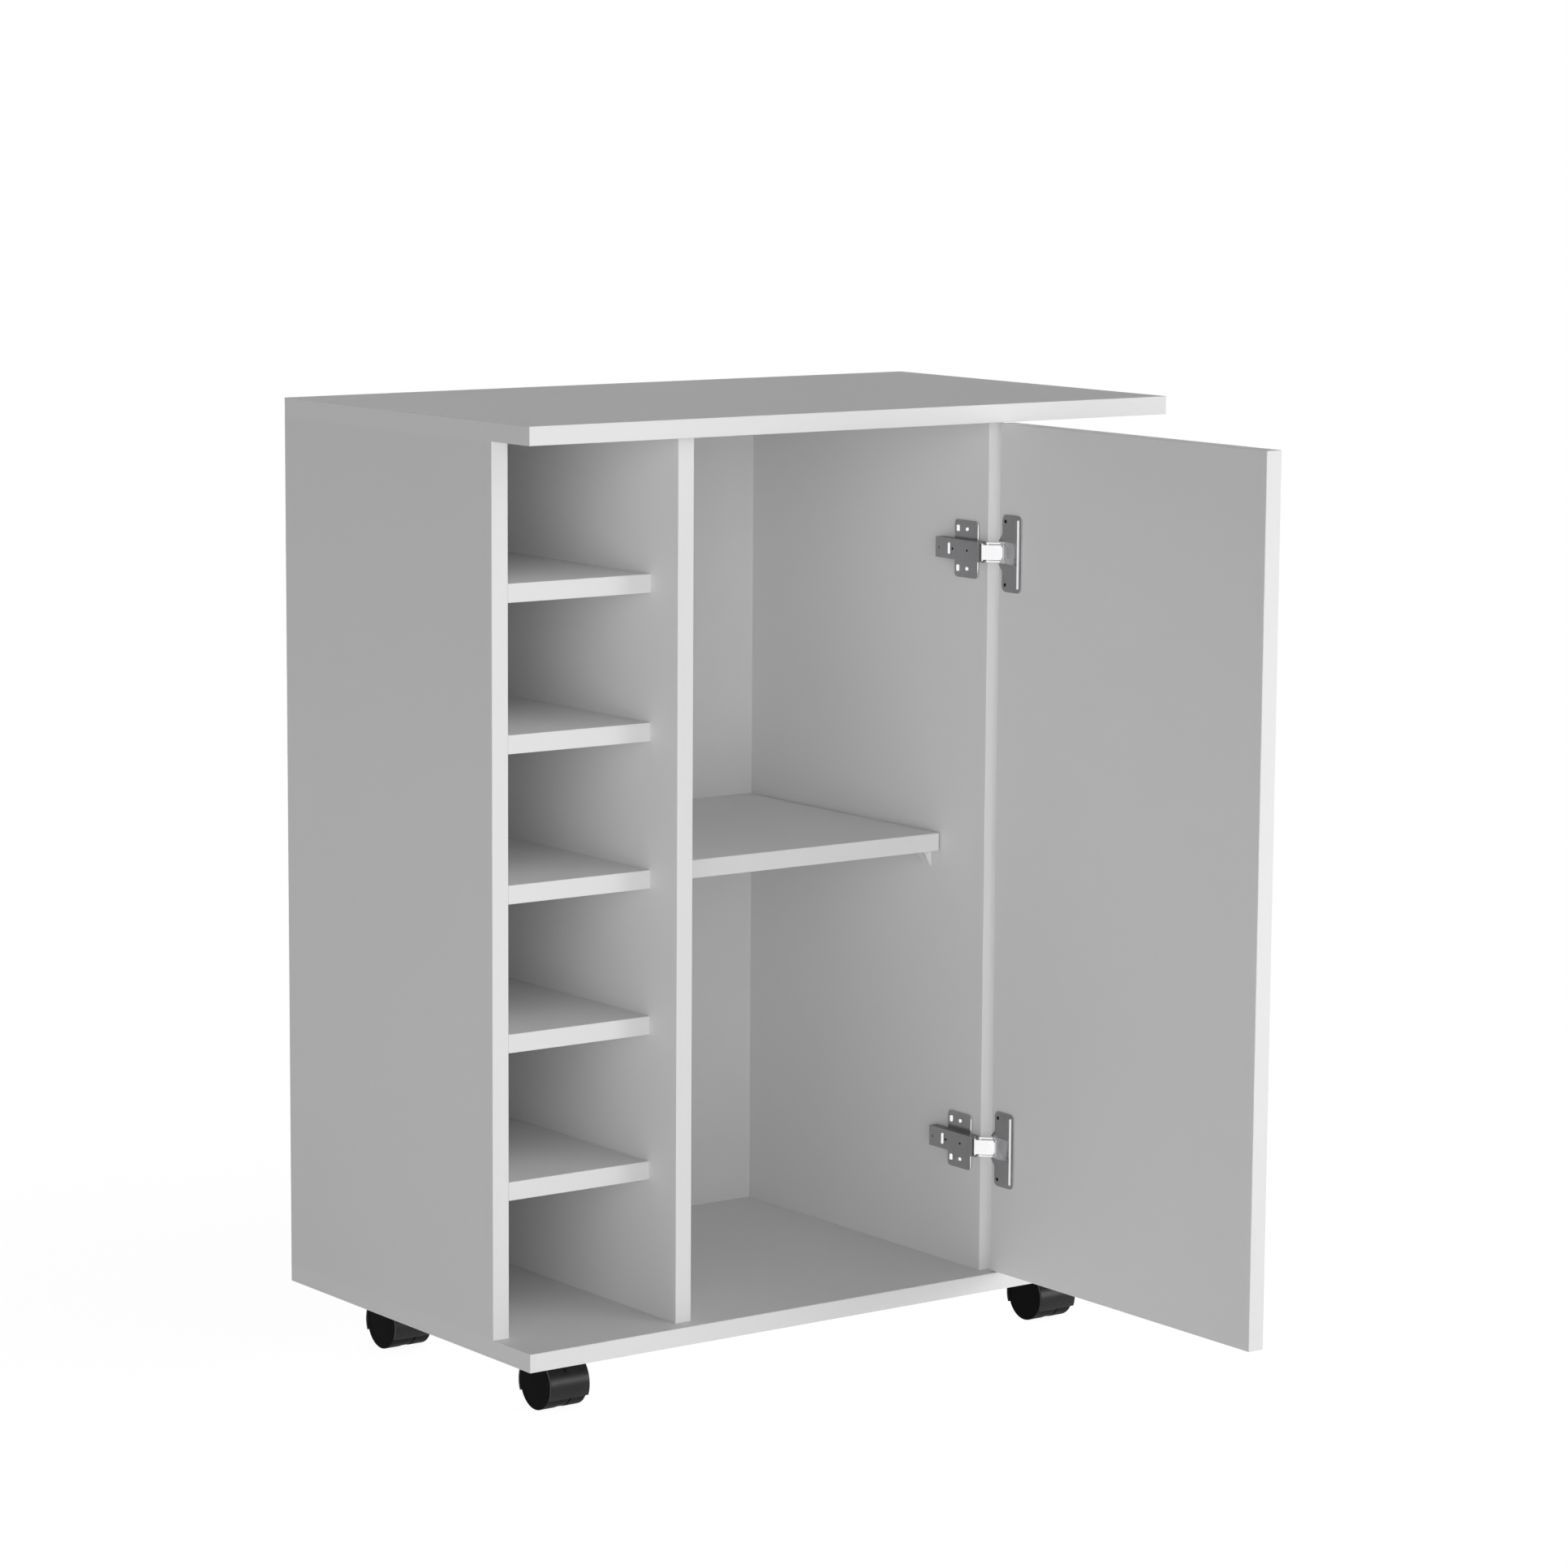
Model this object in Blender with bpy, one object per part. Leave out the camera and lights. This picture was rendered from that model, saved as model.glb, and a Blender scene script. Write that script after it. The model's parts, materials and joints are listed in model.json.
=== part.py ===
"""Coffee bar cabinet on casters: bottle cubbies, a compartment with a hinged door, and an open end bay.

Metres, +Z up. X runs from the bottle cubbies to the end bay, Y from the front to the back.
The origin is on the floor, under the middle of the box that holds the cabinet with its door open.
"""

import math

import bmesh
import bpy
from mathutils import Matrix, Vector

# Boards and carcass
BOARD = 0.015
TOP_WIDTH = 0.635
TOP_DEPTH = 0.363
CARCASS_HEIGHT = 0.740
RACK_WIDTH = 0.134
CABINET_WIDTH = 0.295
RACK_SETBACK = 0.053
BACK_BOARD = 0.003
BACK_INSET = 0.017
EDGE_EASE = 0.0006
SEAT_GAP = 0.0003

# Bottle cubbies and loose shelf
RACK_SHELVES = 5
RACK_PITCH = 0.1184
SHELF_SETBACK = 0.0735
SHELF_END_GAP = 0.001

# Shelf pegs
PEG_SETBACK = 0.012
PEG_WIDTH = 0.009
PEG_REACH = 0.0099
PEG_DROP = 0.0134
PEG_LIP = 0.0014
PEG_PIN_RADIUS = 0.0025
PEG_PIN_LENGTH = 0.008
PEG_PIN_DROP = 0.005

# Door
DOOR_THICKNESS = 0.015
DOOR_END_GAP = 0.0012
DOOR_FACE_GAP = 0.002
DOOR_OPEN_OUTSET = 0.0045
DOOR_OPEN_STANDOFF = 0.009

# Concealed hinges: mounting plate and arm
HINGE_FROM_END = 0.1055
PLATE_FRONT = 0.0107
PLATE_LENGTH = 0.0306
PLATE_HEIGHT = 0.0475
PLATE_THICKNESS = 0.0018
PLATE_CORNER = 0.0035
PLATE_HOLE_SPACING = 0.033
PLATE_HOLE_RADIUS = 0.002
PLATE_HOLE_INSET = 0.0143
PLATE_SLOT_INSET = 0.0263
PLATE_SLOT_LENGTH = 0.0056
PLATE_SLOT_WIDTH = 0.004
ARM_REAR = 0.0562
ARM_HEIGHT = 0.0168
ARM_STANDOFF = 0.0105
ARM_SKIRT = 0.0025
ARM_SHEET = 0.0012
ARM_FRONT = 0.0004
ARM_NOSE = 0.0012
ARM_NOSE_DROP = 0.0011
ARM_SLOT_REAR = 0.040
ARM_SLOT_LENGTH = 0.0044
ARM_SLOT_HEIGHT = 0.0094
ARM_HOLE_RADIUS = 0.0012
ARM_HOLES = (0.0147, 0.0339, 0.0514)
EAR_RADIUS = 0.0019
SADDLE_OVERHANG = 0.004

# Concealed hinges: link and cup
PIN_RADIUS = 0.0011
PIN_STANDOFF = 0.0075
PIN_FROM_EDGE = 0.005
PIN_DEPTH = 0.0005
LINK_THICKNESS = 0.0024
LINK_HEIGHT = 0.012
LINK_CUP_HEIGHT = 0.009
CUP_PIN_LENGTH = 0.0126
LINK_BULGE = 0.001
CUP_FROM_EDGE = 0.0159
CUP_RADIUS = 0.0136
CUP_WALL = 0.0008
CUP_DEPTH = 0.0105
FLANGE_THICKNESS = 0.0012
FLANGE_HEIGHT = 0.0634
FLANGE_NEAR = 0.0058
FLANGE_FAR = 0.0303
FLANGE_CORNER = 0.0045
FLANGE_HOLE_SPACING = 0.052
FLANGE_HOLE_INSET = 0.0038
FLANGE_HOLE_RADIUS = 0.0016
SHOULDER_NEAR = 0.0012
SHOULDER_HEIGHT = 0.0302
MOUTH_NEAR = -0.002
MOUTH_FAR = 0.0249
MOUTH_HEIGHT = 0.0180
MOUTH_DEPTH = 0.003
MOUTH_CORNER = 0.0008
BEAD_WIDTH = 0.0026
BEAD_RISE = 0.0006
BEAD_INSET = 0.0047
BEAD_LENGTH = 0.056

# Casters
CASTER_HEIGHT = 0.0485
CASTER_INSET_LEFT = 0.060
CASTER_INSET_RIGHT = 0.075
CASTER_INSET_ENDS = 0.0655
CASTER_TRAIL = 0.009
WHEEL_RADIUS = 0.0207
WHEEL_WIDTH = 0.01425
WHEEL_ROUND = 0.0008
WHEEL_GAP = 0.0005
FORK_THICKNESS = 0.0075
FORK_RADIUS = 0.0195
HOOD_GAP = 0.001
HOOD_WALL = 0.002
HOOD_CLEARANCE = 0.0113
AXLE_RADIUS = 0.003
AXLE_SEAT = 0.0102
KINGPIN_RADIUS = 0.0025
KINGPIN_DEPTH = 0.020
TOWER_LENGTH = 0.016
CASTER_PLATE = 0.040
CASTER_PLATE_THICKNESS = 0.002
CASTER_PLATE_CORNER = 0.005
CASTER_SCREW_SPACING = 0.029
CASTER_SCREW_RADIUS = 0.0022

# Places worked out from the sizes above: across, then front to back, then up
DOOR_WIDTH = CABINET_WIDTH + 2 * BOARD
PANEL_SETBACK = DOOR_THICKNESS
LEFT_OUTER = -TOP_WIDTH / 2
LEFT_INNER = LEFT_OUTER + BOARD
DIVIDER_LEFT = LEFT_INNER + RACK_WIDTH
DIVIDER_RIGHT = DIVIDER_LEFT + BOARD
RIGHT_INNER = DIVIDER_RIGHT + CABINET_WIDTH
RIGHT_OUTER = RIGHT_INNER + BOARD
RIGHT_END = LEFT_OUTER + TOP_WIDTH
FRONT = (DOOR_WIDTH + DOOR_OPEN_STANDOFF - PANEL_SETBACK - TOP_DEPTH) / 2
PANEL_FRONT = FRONT + PANEL_SETBACK
RACK_FRONT = FRONT + RACK_SETBACK
REAR = FRONT + TOP_DEPTH
BACK_FACE = REAR - BACK_INSET - BACK_BOARD
UNDERSIDE = CASTER_HEIGHT
FLOOR = UNDERSIDE + BOARD
TOP = UNDERSIDE + CARCASS_HEIGHT
CEILING = TOP - BOARD
MIDDLE = (FLOOR + CEILING) / 2
DOOR_INNER_OPEN = RIGHT_INNER + DOOR_OPEN_OUTSET
DOOR_EDGE_OPEN = PANEL_FRONT - DOOR_OPEN_STANDOFF
DOOR_BOTTOM = FLOOR + DOOR_END_GAP
DOOR_TOP = CEILING - DOOR_END_GAP
HINGE_HEIGHTS = {"lower": DOOR_BOTTOM + HINGE_FROM_END, "upper": DOOR_TOP - HINGE_FROM_END}

# Turns a drawing of a hinge piece (forward, up, out of the panel) into the cabinet's own axes
SIDE_ON = Matrix(((0, 0, -1, 0), (-1, 0, 0, 0), (0, 1, 0, 0), (0, 0, 0, 1)))
ON_EDGE = Matrix.Rotation(math.radians(90), 4, "X")
SMOOTH_ANGLE = math.radians(35)


def clear_scene():
    for piece in list(bpy.data.objects):
        bpy.data.objects.remove(piece)


def finish(name, colour, roughness, metallic=0.0):
    material = bpy.data.materials.new(name)
    material.use_nodes = True
    shader = material.node_tree.nodes["Principled BSDF"]
    shader.inputs["Base Color"].default_value = (*colour, 1.0)
    shader.inputs["Roughness"].default_value = roughness
    shader.inputs["Metallic"].default_value = metallic
    return material


# Outlines


def arc(centre, radius, start, end, steps):
    """Points along an arc, from one angle to another, in radians."""
    points = []
    for step in range(steps + 1):
        angle = start + (end - start) * step / steps
        points.append((centre[0] + radius * math.cos(angle), centre[1] + radius * math.sin(angle)))
    return points


def circle(centre, radius, steps=12):
    return arc(centre, radius, 0.0, math.tau, steps)[:-1]


def rounded(corners, steps=3):
    """A closed counterclockwise outline from (x, y, radius) corners; a radius of 0 stays sharp."""
    points = []
    for i, (x, y, radius) in enumerate(corners):
        corner = Vector((x, y))
        if radius == 0.0:
            points.append((x, y))
            continue
        to_last = (Vector(corners[i - 1][:2]) - corner).normalized()
        to_next = (Vector(corners[(i + 1) % len(corners)][:2]) - corner).normalized()
        half = to_last.angle(to_next) / 2
        centre = corner + (to_last + to_next).normalized() * (radius / math.sin(half))
        begin = corner + to_last * (radius / math.tan(half)) - centre
        turn = math.copysign(math.pi - 2 * half, to_next.x * to_last.y - to_next.y * to_last.x)
        start = math.atan2(begin.y, begin.x)
        points += arc(centre, radius, start, start + turn, steps)
    return points


def rounded_box(low, high, radius, steps=3):
    corners = [(low[0], low[1]), (high[0], low[1]), (high[0], high[1]), (low[0], high[1])]
    return rounded([(x, y, radius) for x, y in corners], steps)


# Solids


def extruded(loops, low, high):
    """A shape drawn in X and Y, thick from low to high in Z. Loops after the first are holes."""
    bm = bmesh.new()
    rim = []
    for loop in loops:
        corners = [bm.verts.new((x, y, low)) for x, y in loop]
        rim += [bm.edges.new((corners[i - 1], corners[i])) for i in range(len(corners))]
    bmesh.ops.triangle_fill(bm, use_beauty=True, edges=rim)
    lifted = bmesh.ops.extrude_face_region(bm, geom=bm.faces[:])["geom"]
    raised = [item for item in lifted if isinstance(item, bmesh.types.BMVert)]
    bmesh.ops.translate(bm, verts=raised, vec=(0.0, 0.0, high - low))
    return bm


def spun(profile, steps):
    """A turned shape: (along, radius) points, first and last on the X axis, spun once round it."""
    bm = bmesh.new()
    line = [bm.verts.new((along, 0.0, radius)) for along, radius in profile]
    edges = [bm.edges.new(pair) for pair in zip(line, line[1:])]
    bmesh.ops.spin(
        bm, geom=line + edges, cent=(0, 0, 0), axis=(1, 0, 0), angle=math.tau, steps=steps, use_merge=True
    )
    bmesh.ops.remove_doubles(bm, verts=bm.verts[:], dist=EDGE_EASE / 100)
    return bm


def rod(radius, low, high, steps):
    """A round bar along X."""
    return spun([(low, 0.0), (low, radius), (high, radius), (high, 0.0)], steps)


def turned(bm, matrix):
    bmesh.ops.transform(bm, matrix=matrix, verts=bm.verts[:])
    return bm


def mesh_of(bm, name, smooth=False):
    bmesh.ops.recalc_face_normals(bm, faces=bm.faces[:])
    mesh = bpy.data.meshes.new(name)
    bm.to_mesh(mesh)
    bm.free()
    if smooth:
        soften(mesh)
    return mesh


def soften(mesh):
    mesh.shade_smooth()
    mesh.set_sharp_from_angle(angle=SMOOTH_ANGLE)


def combined(start, *steps):
    """One mesh from a first bmesh and a list of (operation, bmesh) steps."""
    base = bpy.data.objects.new("base", mesh_of(start, "base"))
    bpy.context.collection.objects.link(base)
    for operation, bm in steps:
        tool = bpy.data.objects.new("tool", mesh_of(bm, "tool"))
        bpy.context.collection.objects.link(tool)
        step = base.modifiers.new(operation, "BOOLEAN")
        step.operation = operation
        step.solver = "EXACT"
        step.object = tool
        graph = bpy.context.evaluated_depsgraph_get()
        shaped = bpy.data.meshes.new_from_object(base.evaluated_get(graph))
        base.modifiers.clear()
        base.data = shaped
        bpy.data.objects.remove(tool)
    mesh = base.data
    bpy.data.objects.remove(base)
    soften(mesh)
    return mesh


# Placing


def pivot(name, place, parent=None):
    """An empty on a joint's axis, which the moving pieces hang on."""
    empty = bpy.data.objects.new(name, None)
    bpy.context.collection.objects.link(empty)
    settle(empty, place, parent)
    return empty


def settle(piece, place, parent):
    piece.parent = parent
    bpy.context.view_layer.update()
    piece.location = parent.matrix_world.inverted() @ Vector(place) if parent else Vector(place)
    bpy.context.view_layer.update()


def put(name, mesh, material, place, parent=None, turn=None):
    piece = bpy.data.objects.new(name, mesh)
    bpy.context.collection.objects.link(piece)
    mesh.name = name
    mesh.materials.clear()
    mesh.materials.append(material)
    if turn is not None:
        piece.rotation_euler = turn.to_euler()
    settle(piece, place, parent)
    return piece


def board_shape(size):
    """A panel about its own middle, with lightly eased edges."""
    bm = bmesh.new()
    bmesh.ops.create_cube(bm, size=1.0)
    bmesh.ops.scale(bm, vec=size, verts=bm.verts[:])
    bmesh.ops.bevel(
        bm, geom=bm.edges[:], offset=EDGE_EASE, segments=1, profile=0.5, affect="EDGES", material=-1
    )
    return bm


def board(name, low, high, material, parent=None, cuts=()):
    """A panel between two opposite corners; cuts are bmeshes in the cabinet's own axes."""
    low, high = Vector(low), Vector(high)
    middle = (low + high) / 2
    steps = [("DIFFERENCE", turned(cut, Matrix.Translation(-middle))) for cut in cuts]
    shape = board_shape(high - low)
    mesh = combined(shape, *steps) if steps else mesh_of(shape, name)
    return put(name, mesh, material, middle, parent)


# Carcass


def peg_places():
    """Where each shelf peg seats: name, panel face, middle of its width and the way it faces."""
    front = FRONT + SHELF_SETBACK + PEG_SETBACK + PEG_WIDTH / 2
    rear = BACK_FACE - SEAT_GAP - PEG_SETBACK - PEG_WIDTH / 2
    for side, face, way in (("left", DIVIDER_RIGHT, 1), ("right", RIGHT_INNER, -1)):
        for end, y in (("front", front), ("rear", rear)):
            yield f"shelf_peg_{end}_{side}", face, y, way


def peg_holes(face):
    """Blind holes for the pegs on one panel face."""
    radius = PEG_PIN_RADIUS + SEAT_GAP
    height = MIDDLE - BOARD / 2 - SEAT_GAP - PEG_PIN_DROP
    for _, hole_face, y, way in peg_places():
        if hole_face == face:
            bottom = -way * (PEG_PIN_LENGTH + SEAT_GAP)
            hole = rod(radius, min(bottom, way * BOARD), max(bottom, way * BOARD), 16)
            yield turned(hole, Matrix.Translation((face, y, height)))


def make_carcass(white, hardboard):
    low, high = FLOOR + SEAT_GAP, CEILING - SEAT_GAP
    board("top_panel", (LEFT_OUTER, FRONT, CEILING), (RIGHT_END, REAR, TOP), white)
    board("bottom_panel", (LEFT_OUTER, FRONT, UNDERSIDE), (RIGHT_END, REAR, FLOOR), white)
    board("left_side_panel", (LEFT_OUTER, RACK_FRONT, low), (LEFT_INNER, REAR, high), white)
    board(
        "divider_panel",
        (DIVIDER_LEFT, PANEL_FRONT, low),
        (DIVIDER_RIGHT, BACK_FACE - SEAT_GAP, high),
        white,
        cuts=list(peg_holes(DIVIDER_RIGHT)),
    )
    board(
        "right_side_panel",
        (RIGHT_INNER, PANEL_FRONT, low),
        (RIGHT_OUTER, REAR, high),
        white,
        cuts=list(peg_holes(RIGHT_INNER)),
    )
    board(
        "back_panel",
        (LEFT_INNER + SEAT_GAP, BACK_FACE, low),
        (RIGHT_INNER - SEAT_GAP, BACK_FACE + BACK_BOARD, high),
        hardboard,
    )


def make_rack_shelves(white):
    first = MIDDLE - RACK_PITCH * (RACK_SHELVES - 1) / 2
    for number in range(RACK_SHELVES):
        height = first + RACK_PITCH * number
        board(
            f"rack_shelf_{number + 1}",
            (LEFT_INNER + SEAT_GAP, RACK_FRONT, height - BOARD / 2),
            (DIVIDER_LEFT - SEAT_GAP, BACK_FACE - SEAT_GAP, height + BOARD / 2),
            white,
        )


def make_loose_shelf(white):
    board(
        "middle_shelf",
        (DIVIDER_RIGHT + SHELF_END_GAP, FRONT + SHELF_SETBACK, MIDDLE - BOARD / 2),
        (RIGHT_INNER - SHELF_END_GAP, BACK_FACE - SEAT_GAP, MIDDLE + BOARD / 2),
        white,
    )


def peg_mesh():
    """A wedge under the shelf and a pin into the panel; x runs away from the panel face."""
    near, far = SEAT_GAP, SEAT_GAP + PEG_REACH
    wedge = [(near, -PEG_DROP), (near + PEG_LIP, -PEG_DROP), (far, -PEG_LIP), (far, 0.0), (near, 0.0)]
    bracket = turned(extruded([wedge], -PEG_WIDTH / 2, PEG_WIDTH / 2), ON_EDGE)
    pin = rod(PEG_PIN_RADIUS, -PEG_PIN_LENGTH, near + PEG_LIP / 2, 16)
    return combined(bracket, ("UNION", turned(pin, Matrix.Translation((0.0, 0.0, -PEG_PIN_DROP)))))


def make_pegs(plastic):
    mesh = peg_mesh()
    height = MIDDLE - BOARD / 2 - SEAT_GAP
    for name, face, y, way in peg_places():
        turn = Matrix.Rotation(0.0 if way > 0 else math.pi, 4, "Z")
        put(name, mesh, plastic, (face, y, height), turn=turn)


def make_end_bay(white):
    upright_face = REAR - BOARD
    near = RIGHT_OUTER + SEAT_GAP
    board(
        "end_bay_upright",
        (near, upright_face, FLOOR + SEAT_GAP),
        (RIGHT_END, REAR, CEILING - SEAT_GAP),
        white,
    )
    board(
        "end_bay_shelf",
        (near, PANEL_FRONT, MIDDLE - BOARD / 2),
        (RIGHT_END, upright_face - SEAT_GAP, MIDDLE + BOARD / 2),
        white,
    )


# Hinges, drawn in (forward of the panel's front edge, up from the hinge, out of the panel's face)


def cup_pin_closed():
    return Vector((DOOR_FACE_GAP + PIN_DEPTH, PIN_FROM_EDGE - BOARD))


def cup_pin_open():
    return Vector((DOOR_OPEN_STANDOFF + PIN_FROM_EDGE, -DOOR_OPEN_OUTSET - PIN_DEPTH))


def arm_pin():
    """The point at the link's arm end, as far from the cup pin with the door closed as with it open."""
    travel = cup_pin_open() - cup_pin_closed()
    middle = (cup_pin_open() + cup_pin_closed()) / 2
    across = Vector((-travel.y, travel.x))
    return middle + across * ((PIN_STANDOFF - middle.y) / across.y)


def plate_mesh():
    """Mounting plate: two screwed wings and a raised saddle that the arm sits on."""
    rear = -PLATE_FRONT - PLATE_LENGTH
    half = PLATE_HEIGHT / 2
    outline = rounded_box((rear, -half), (-PLATE_FRONT, half), PLATE_CORNER)
    holes = []
    for side in (-1, 1):
        height = side * PLATE_HOLE_SPACING / 2
        hole = -PLATE_FRONT - PLATE_HOLE_INSET
        slot = -PLATE_FRONT - PLATE_SLOT_INSET
        holes.append(circle((hole, height), PLATE_HOLE_RADIUS))
        low = (slot - PLATE_SLOT_WIDTH / 2, height - PLATE_SLOT_LENGTH / 2)
        high = (slot + PLATE_SLOT_WIDTH / 2, height + PLATE_SLOT_LENGTH / 2)
        holes.append(rounded_box(low, high, PLATE_SLOT_WIDTH / 4, 2))
    wings = extruded([outline, *holes], SEAT_GAP, SEAT_GAP + PLATE_THICKNESS)
    saddle_half = ARM_HEIGHT / 2 - ARM_SHEET - SEAT_GAP
    saddle_outline = rounded_box(
        (rear - SADDLE_OVERHANG, -saddle_half),
        (-PLATE_FRONT + SADDLE_OVERHANG, saddle_half),
        PLATE_CORNER,
    )
    saddle_top = ARM_STANDOFF - ARM_SHEET - SEAT_GAP
    saddle = extruded([saddle_outline], SEAT_GAP + PLATE_THICKNESS / 2, saddle_top)
    return combined(wings, ("UNION", saddle))


def arm_outline():
    """Side view of the arm, (forward, out): a long channel whose front ends in round ears."""
    nose = ARM_FRONT
    outline = [(-ARM_REAR, ARM_STANDOFF), (-ARM_REAR, ARM_SKIRT), (nose - ARM_NOSE, ARM_SKIRT)]
    outline += arc(arm_pin(), EAR_RADIUS, -math.pi / 2, math.pi / 2, 8)
    outline += [(nose, ARM_STANDOFF - ARM_NOSE_DROP), (nose - ARM_NOSE, ARM_STANDOFF)]
    return outline


def arm_hollow():
    """Side view of what is taken out between the arm's side walls and in front of its nose."""
    nose = ARM_FRONT
    rear = -ARM_REAR - ARM_SHEET
    front = arm_pin().x + EAR_RADIUS + ARM_SHEET
    low = ARM_SKIRT - ARM_SHEET
    inside = ARM_STANDOFF - ARM_SHEET
    above = ARM_STANDOFF + ARM_SHEET
    face = [(nose, inside - ARM_NOSE_DROP), (nose - ARM_NOSE, inside), (rear, inside)]
    return [(rear, low), (front, low), (front, above), (nose, above), *face]


def arm_mesh():
    """A folded sheet channel over the saddle, with two ears that carry the link's pin."""
    half = ARM_HEIGHT / 2
    inner = half - ARM_SHEET
    shell = turned(extruded([arm_outline()], -half, half), ON_EDGE)
    hollow = turned(extruded([arm_hollow()], -inner, inner), ON_EDGE)
    bore = circle(arm_pin(), PIN_RADIUS + SEAT_GAP)
    pin_hole = turned(extruded([bore], -ARM_HEIGHT, ARM_HEIGHT), ON_EDGE)
    slot_low = (-ARM_SLOT_REAR, -ARM_SLOT_HEIGHT / 2)
    slot_high = (-ARM_SLOT_REAR + ARM_SLOT_LENGTH, ARM_SLOT_HEIGHT / 2)
    cuts = [rounded_box(slot_low, slot_high, ARM_SHEET / 2, 2)]
    cuts += [circle((-back, 0.0), ARM_HOLE_RADIUS) for back in ARM_HOLES]
    low, high = ARM_STANDOFF - 2 * ARM_SHEET, ARM_STANDOFF + ARM_SHEET
    steps = [("DIFFERENCE", hollow), ("DIFFERENCE", pin_hole)]
    steps += [("DIFFERENCE", extruded([cut], low, high)) for cut in cuts]
    return combined(shell, *steps)


def link_mesh():
    """A curved bar between the two pins, drawn from the arm pin, with the pins riveted in it."""
    reach = cup_pin_open() - arm_pin()
    chord = reach.length
    radius = chord * chord / (8 * LINK_BULGE) + LINK_BULGE / 2
    bow = Vector((-reach.y, reach.x)).normalized()
    centre = reach / 2 - bow * (radius - LINK_BULGE)
    start = math.atan2(-centre.y, -centre.x)
    end = math.atan2(reach.y - centre.y, reach.x - centre.x)
    thick = LINK_THICKNESS / 2
    outline = arc(centre, radius + thick, start, end, 10)
    outline += arc(reach, thick, end, end - math.pi, 6)[1:-1]
    outline += arc(centre, radius - thick, end, start, 10)
    outline += arc((0.0, 0.0), thick, start + math.pi, start, 6)[1:-1]
    bar = turned(extruded([outline], -LINK_HEIGHT / 2, LINK_HEIGHT / 2), ON_EDGE)
    arm_half = ARM_HEIGHT / 2
    cup_half = CUP_PIN_LENGTH / 2
    arm_rivet = turned(extruded([circle((0.0, 0.0), PIN_RADIUS)], -arm_half, arm_half), ON_EDGE)
    cup_rivet = turned(extruded([circle(reach, PIN_RADIUS)], -cup_half, cup_half), ON_EDGE)
    steps = [("UNION", arm_rivet)]
    for side in (-1, 1):
        low, high = sorted((side * LINK_CUP_HEIGHT / 2, side * LINK_HEIGHT))
        step_out = thick + PIN_RADIUS
        notch = turned(extruded([circle(reach, step_out)], low, high), ON_EDGE)
        steps.append(("DIFFERENCE", notch))
    steps.append(("UNION", cup_rivet))
    return combined(bar, *steps)


def flange_outline():
    """The pressed plate on the door's inner face: (from the door's hinge edge, up)."""
    half = FLANGE_HEIGHT / 2
    shoulder = SHOULDER_HEIGHT / 2
    throat = MOUTH_HEIGHT / 2 + CUP_WALL
    return rounded(
        [
            (FLANGE_FAR, -half, FLANGE_CORNER),
            (FLANGE_FAR, half, FLANGE_CORNER),
            (FLANGE_NEAR, half, FLANGE_CORNER),
            (FLANGE_NEAR, shoulder, 0.0),
            (SHOULDER_NEAR, throat, 0.0),
            (SHOULDER_NEAR, -throat, 0.0),
            (FLANGE_NEAR, -shoulder, 0.0),
            (FLANGE_NEAR, -half, FLANGE_CORNER),
        ]
    )


def cup_mesh():
    """A round cup let into the door, closed over by the flange but for the mouth the link goes in by."""
    low, high = SEAT_GAP, SEAT_GAP + FLANGE_THICKNESS
    inside = (low + high) / 2
    loops = [flange_outline()]
    hole = FLANGE_NEAR + FLANGE_HOLE_INSET
    for side in (-1, 1):
        loops.append(circle((hole, side * FLANGE_HOLE_SPACING / 2), FLANGE_HOLE_RADIUS))
    flange = extruded(loops, low, high)
    centre = (CUP_FROM_EDGE, 0.0)
    shell = extruded([circle(centre, CUP_RADIUS, 32)], -CUP_DEPTH, inside)
    bowl = extruded([circle(centre, CUP_RADIUS - CUP_WALL, 32)], CUP_WALL - CUP_DEPTH, low)
    mouth_low = (MOUTH_NEAR, -MOUTH_HEIGHT / 2)
    mouth_high = (MOUTH_FAR, MOUTH_HEIGHT / 2)
    mouth = extruded([rounded_box(mouth_low, mouth_high, MOUTH_CORNER)], -MOUTH_DEPTH, high + BEAD_RISE)
    bead_middle = (FLANGE_FAR - BEAD_INSET, high + BEAD_RISE - BEAD_WIDTH / 2)
    bead_profile = arc(bead_middle, BEAD_WIDTH / 2, 0.0, math.pi, 8)
    bead = turned(extruded([bead_profile], -BEAD_LENGTH / 2, BEAD_LENGTH / 2), ON_EDGE)
    return combined(
        flange, ("UNION", shell), ("UNION", bead), ("DIFFERENCE", bowl), ("DIFFERENCE", mouth)
    )


def cup_bore(height):
    radius = CUP_RADIUS + SEAT_GAP
    bore = rod(radius, -CUP_WALL, CUP_DEPTH + SEAT_GAP, 32)
    place = (DOOR_INNER_OPEN, DOOR_EDGE_OPEN - CUP_FROM_EDGE, height)
    return turned(bore, Matrix.Translation(place))


def in_cabinet(point):
    """A (forward, out) hinge point as the X and Y of an upright axis."""
    return Vector((RIGHT_INNER - point.y, PANEL_FRONT - point.x, 0.0))


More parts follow.
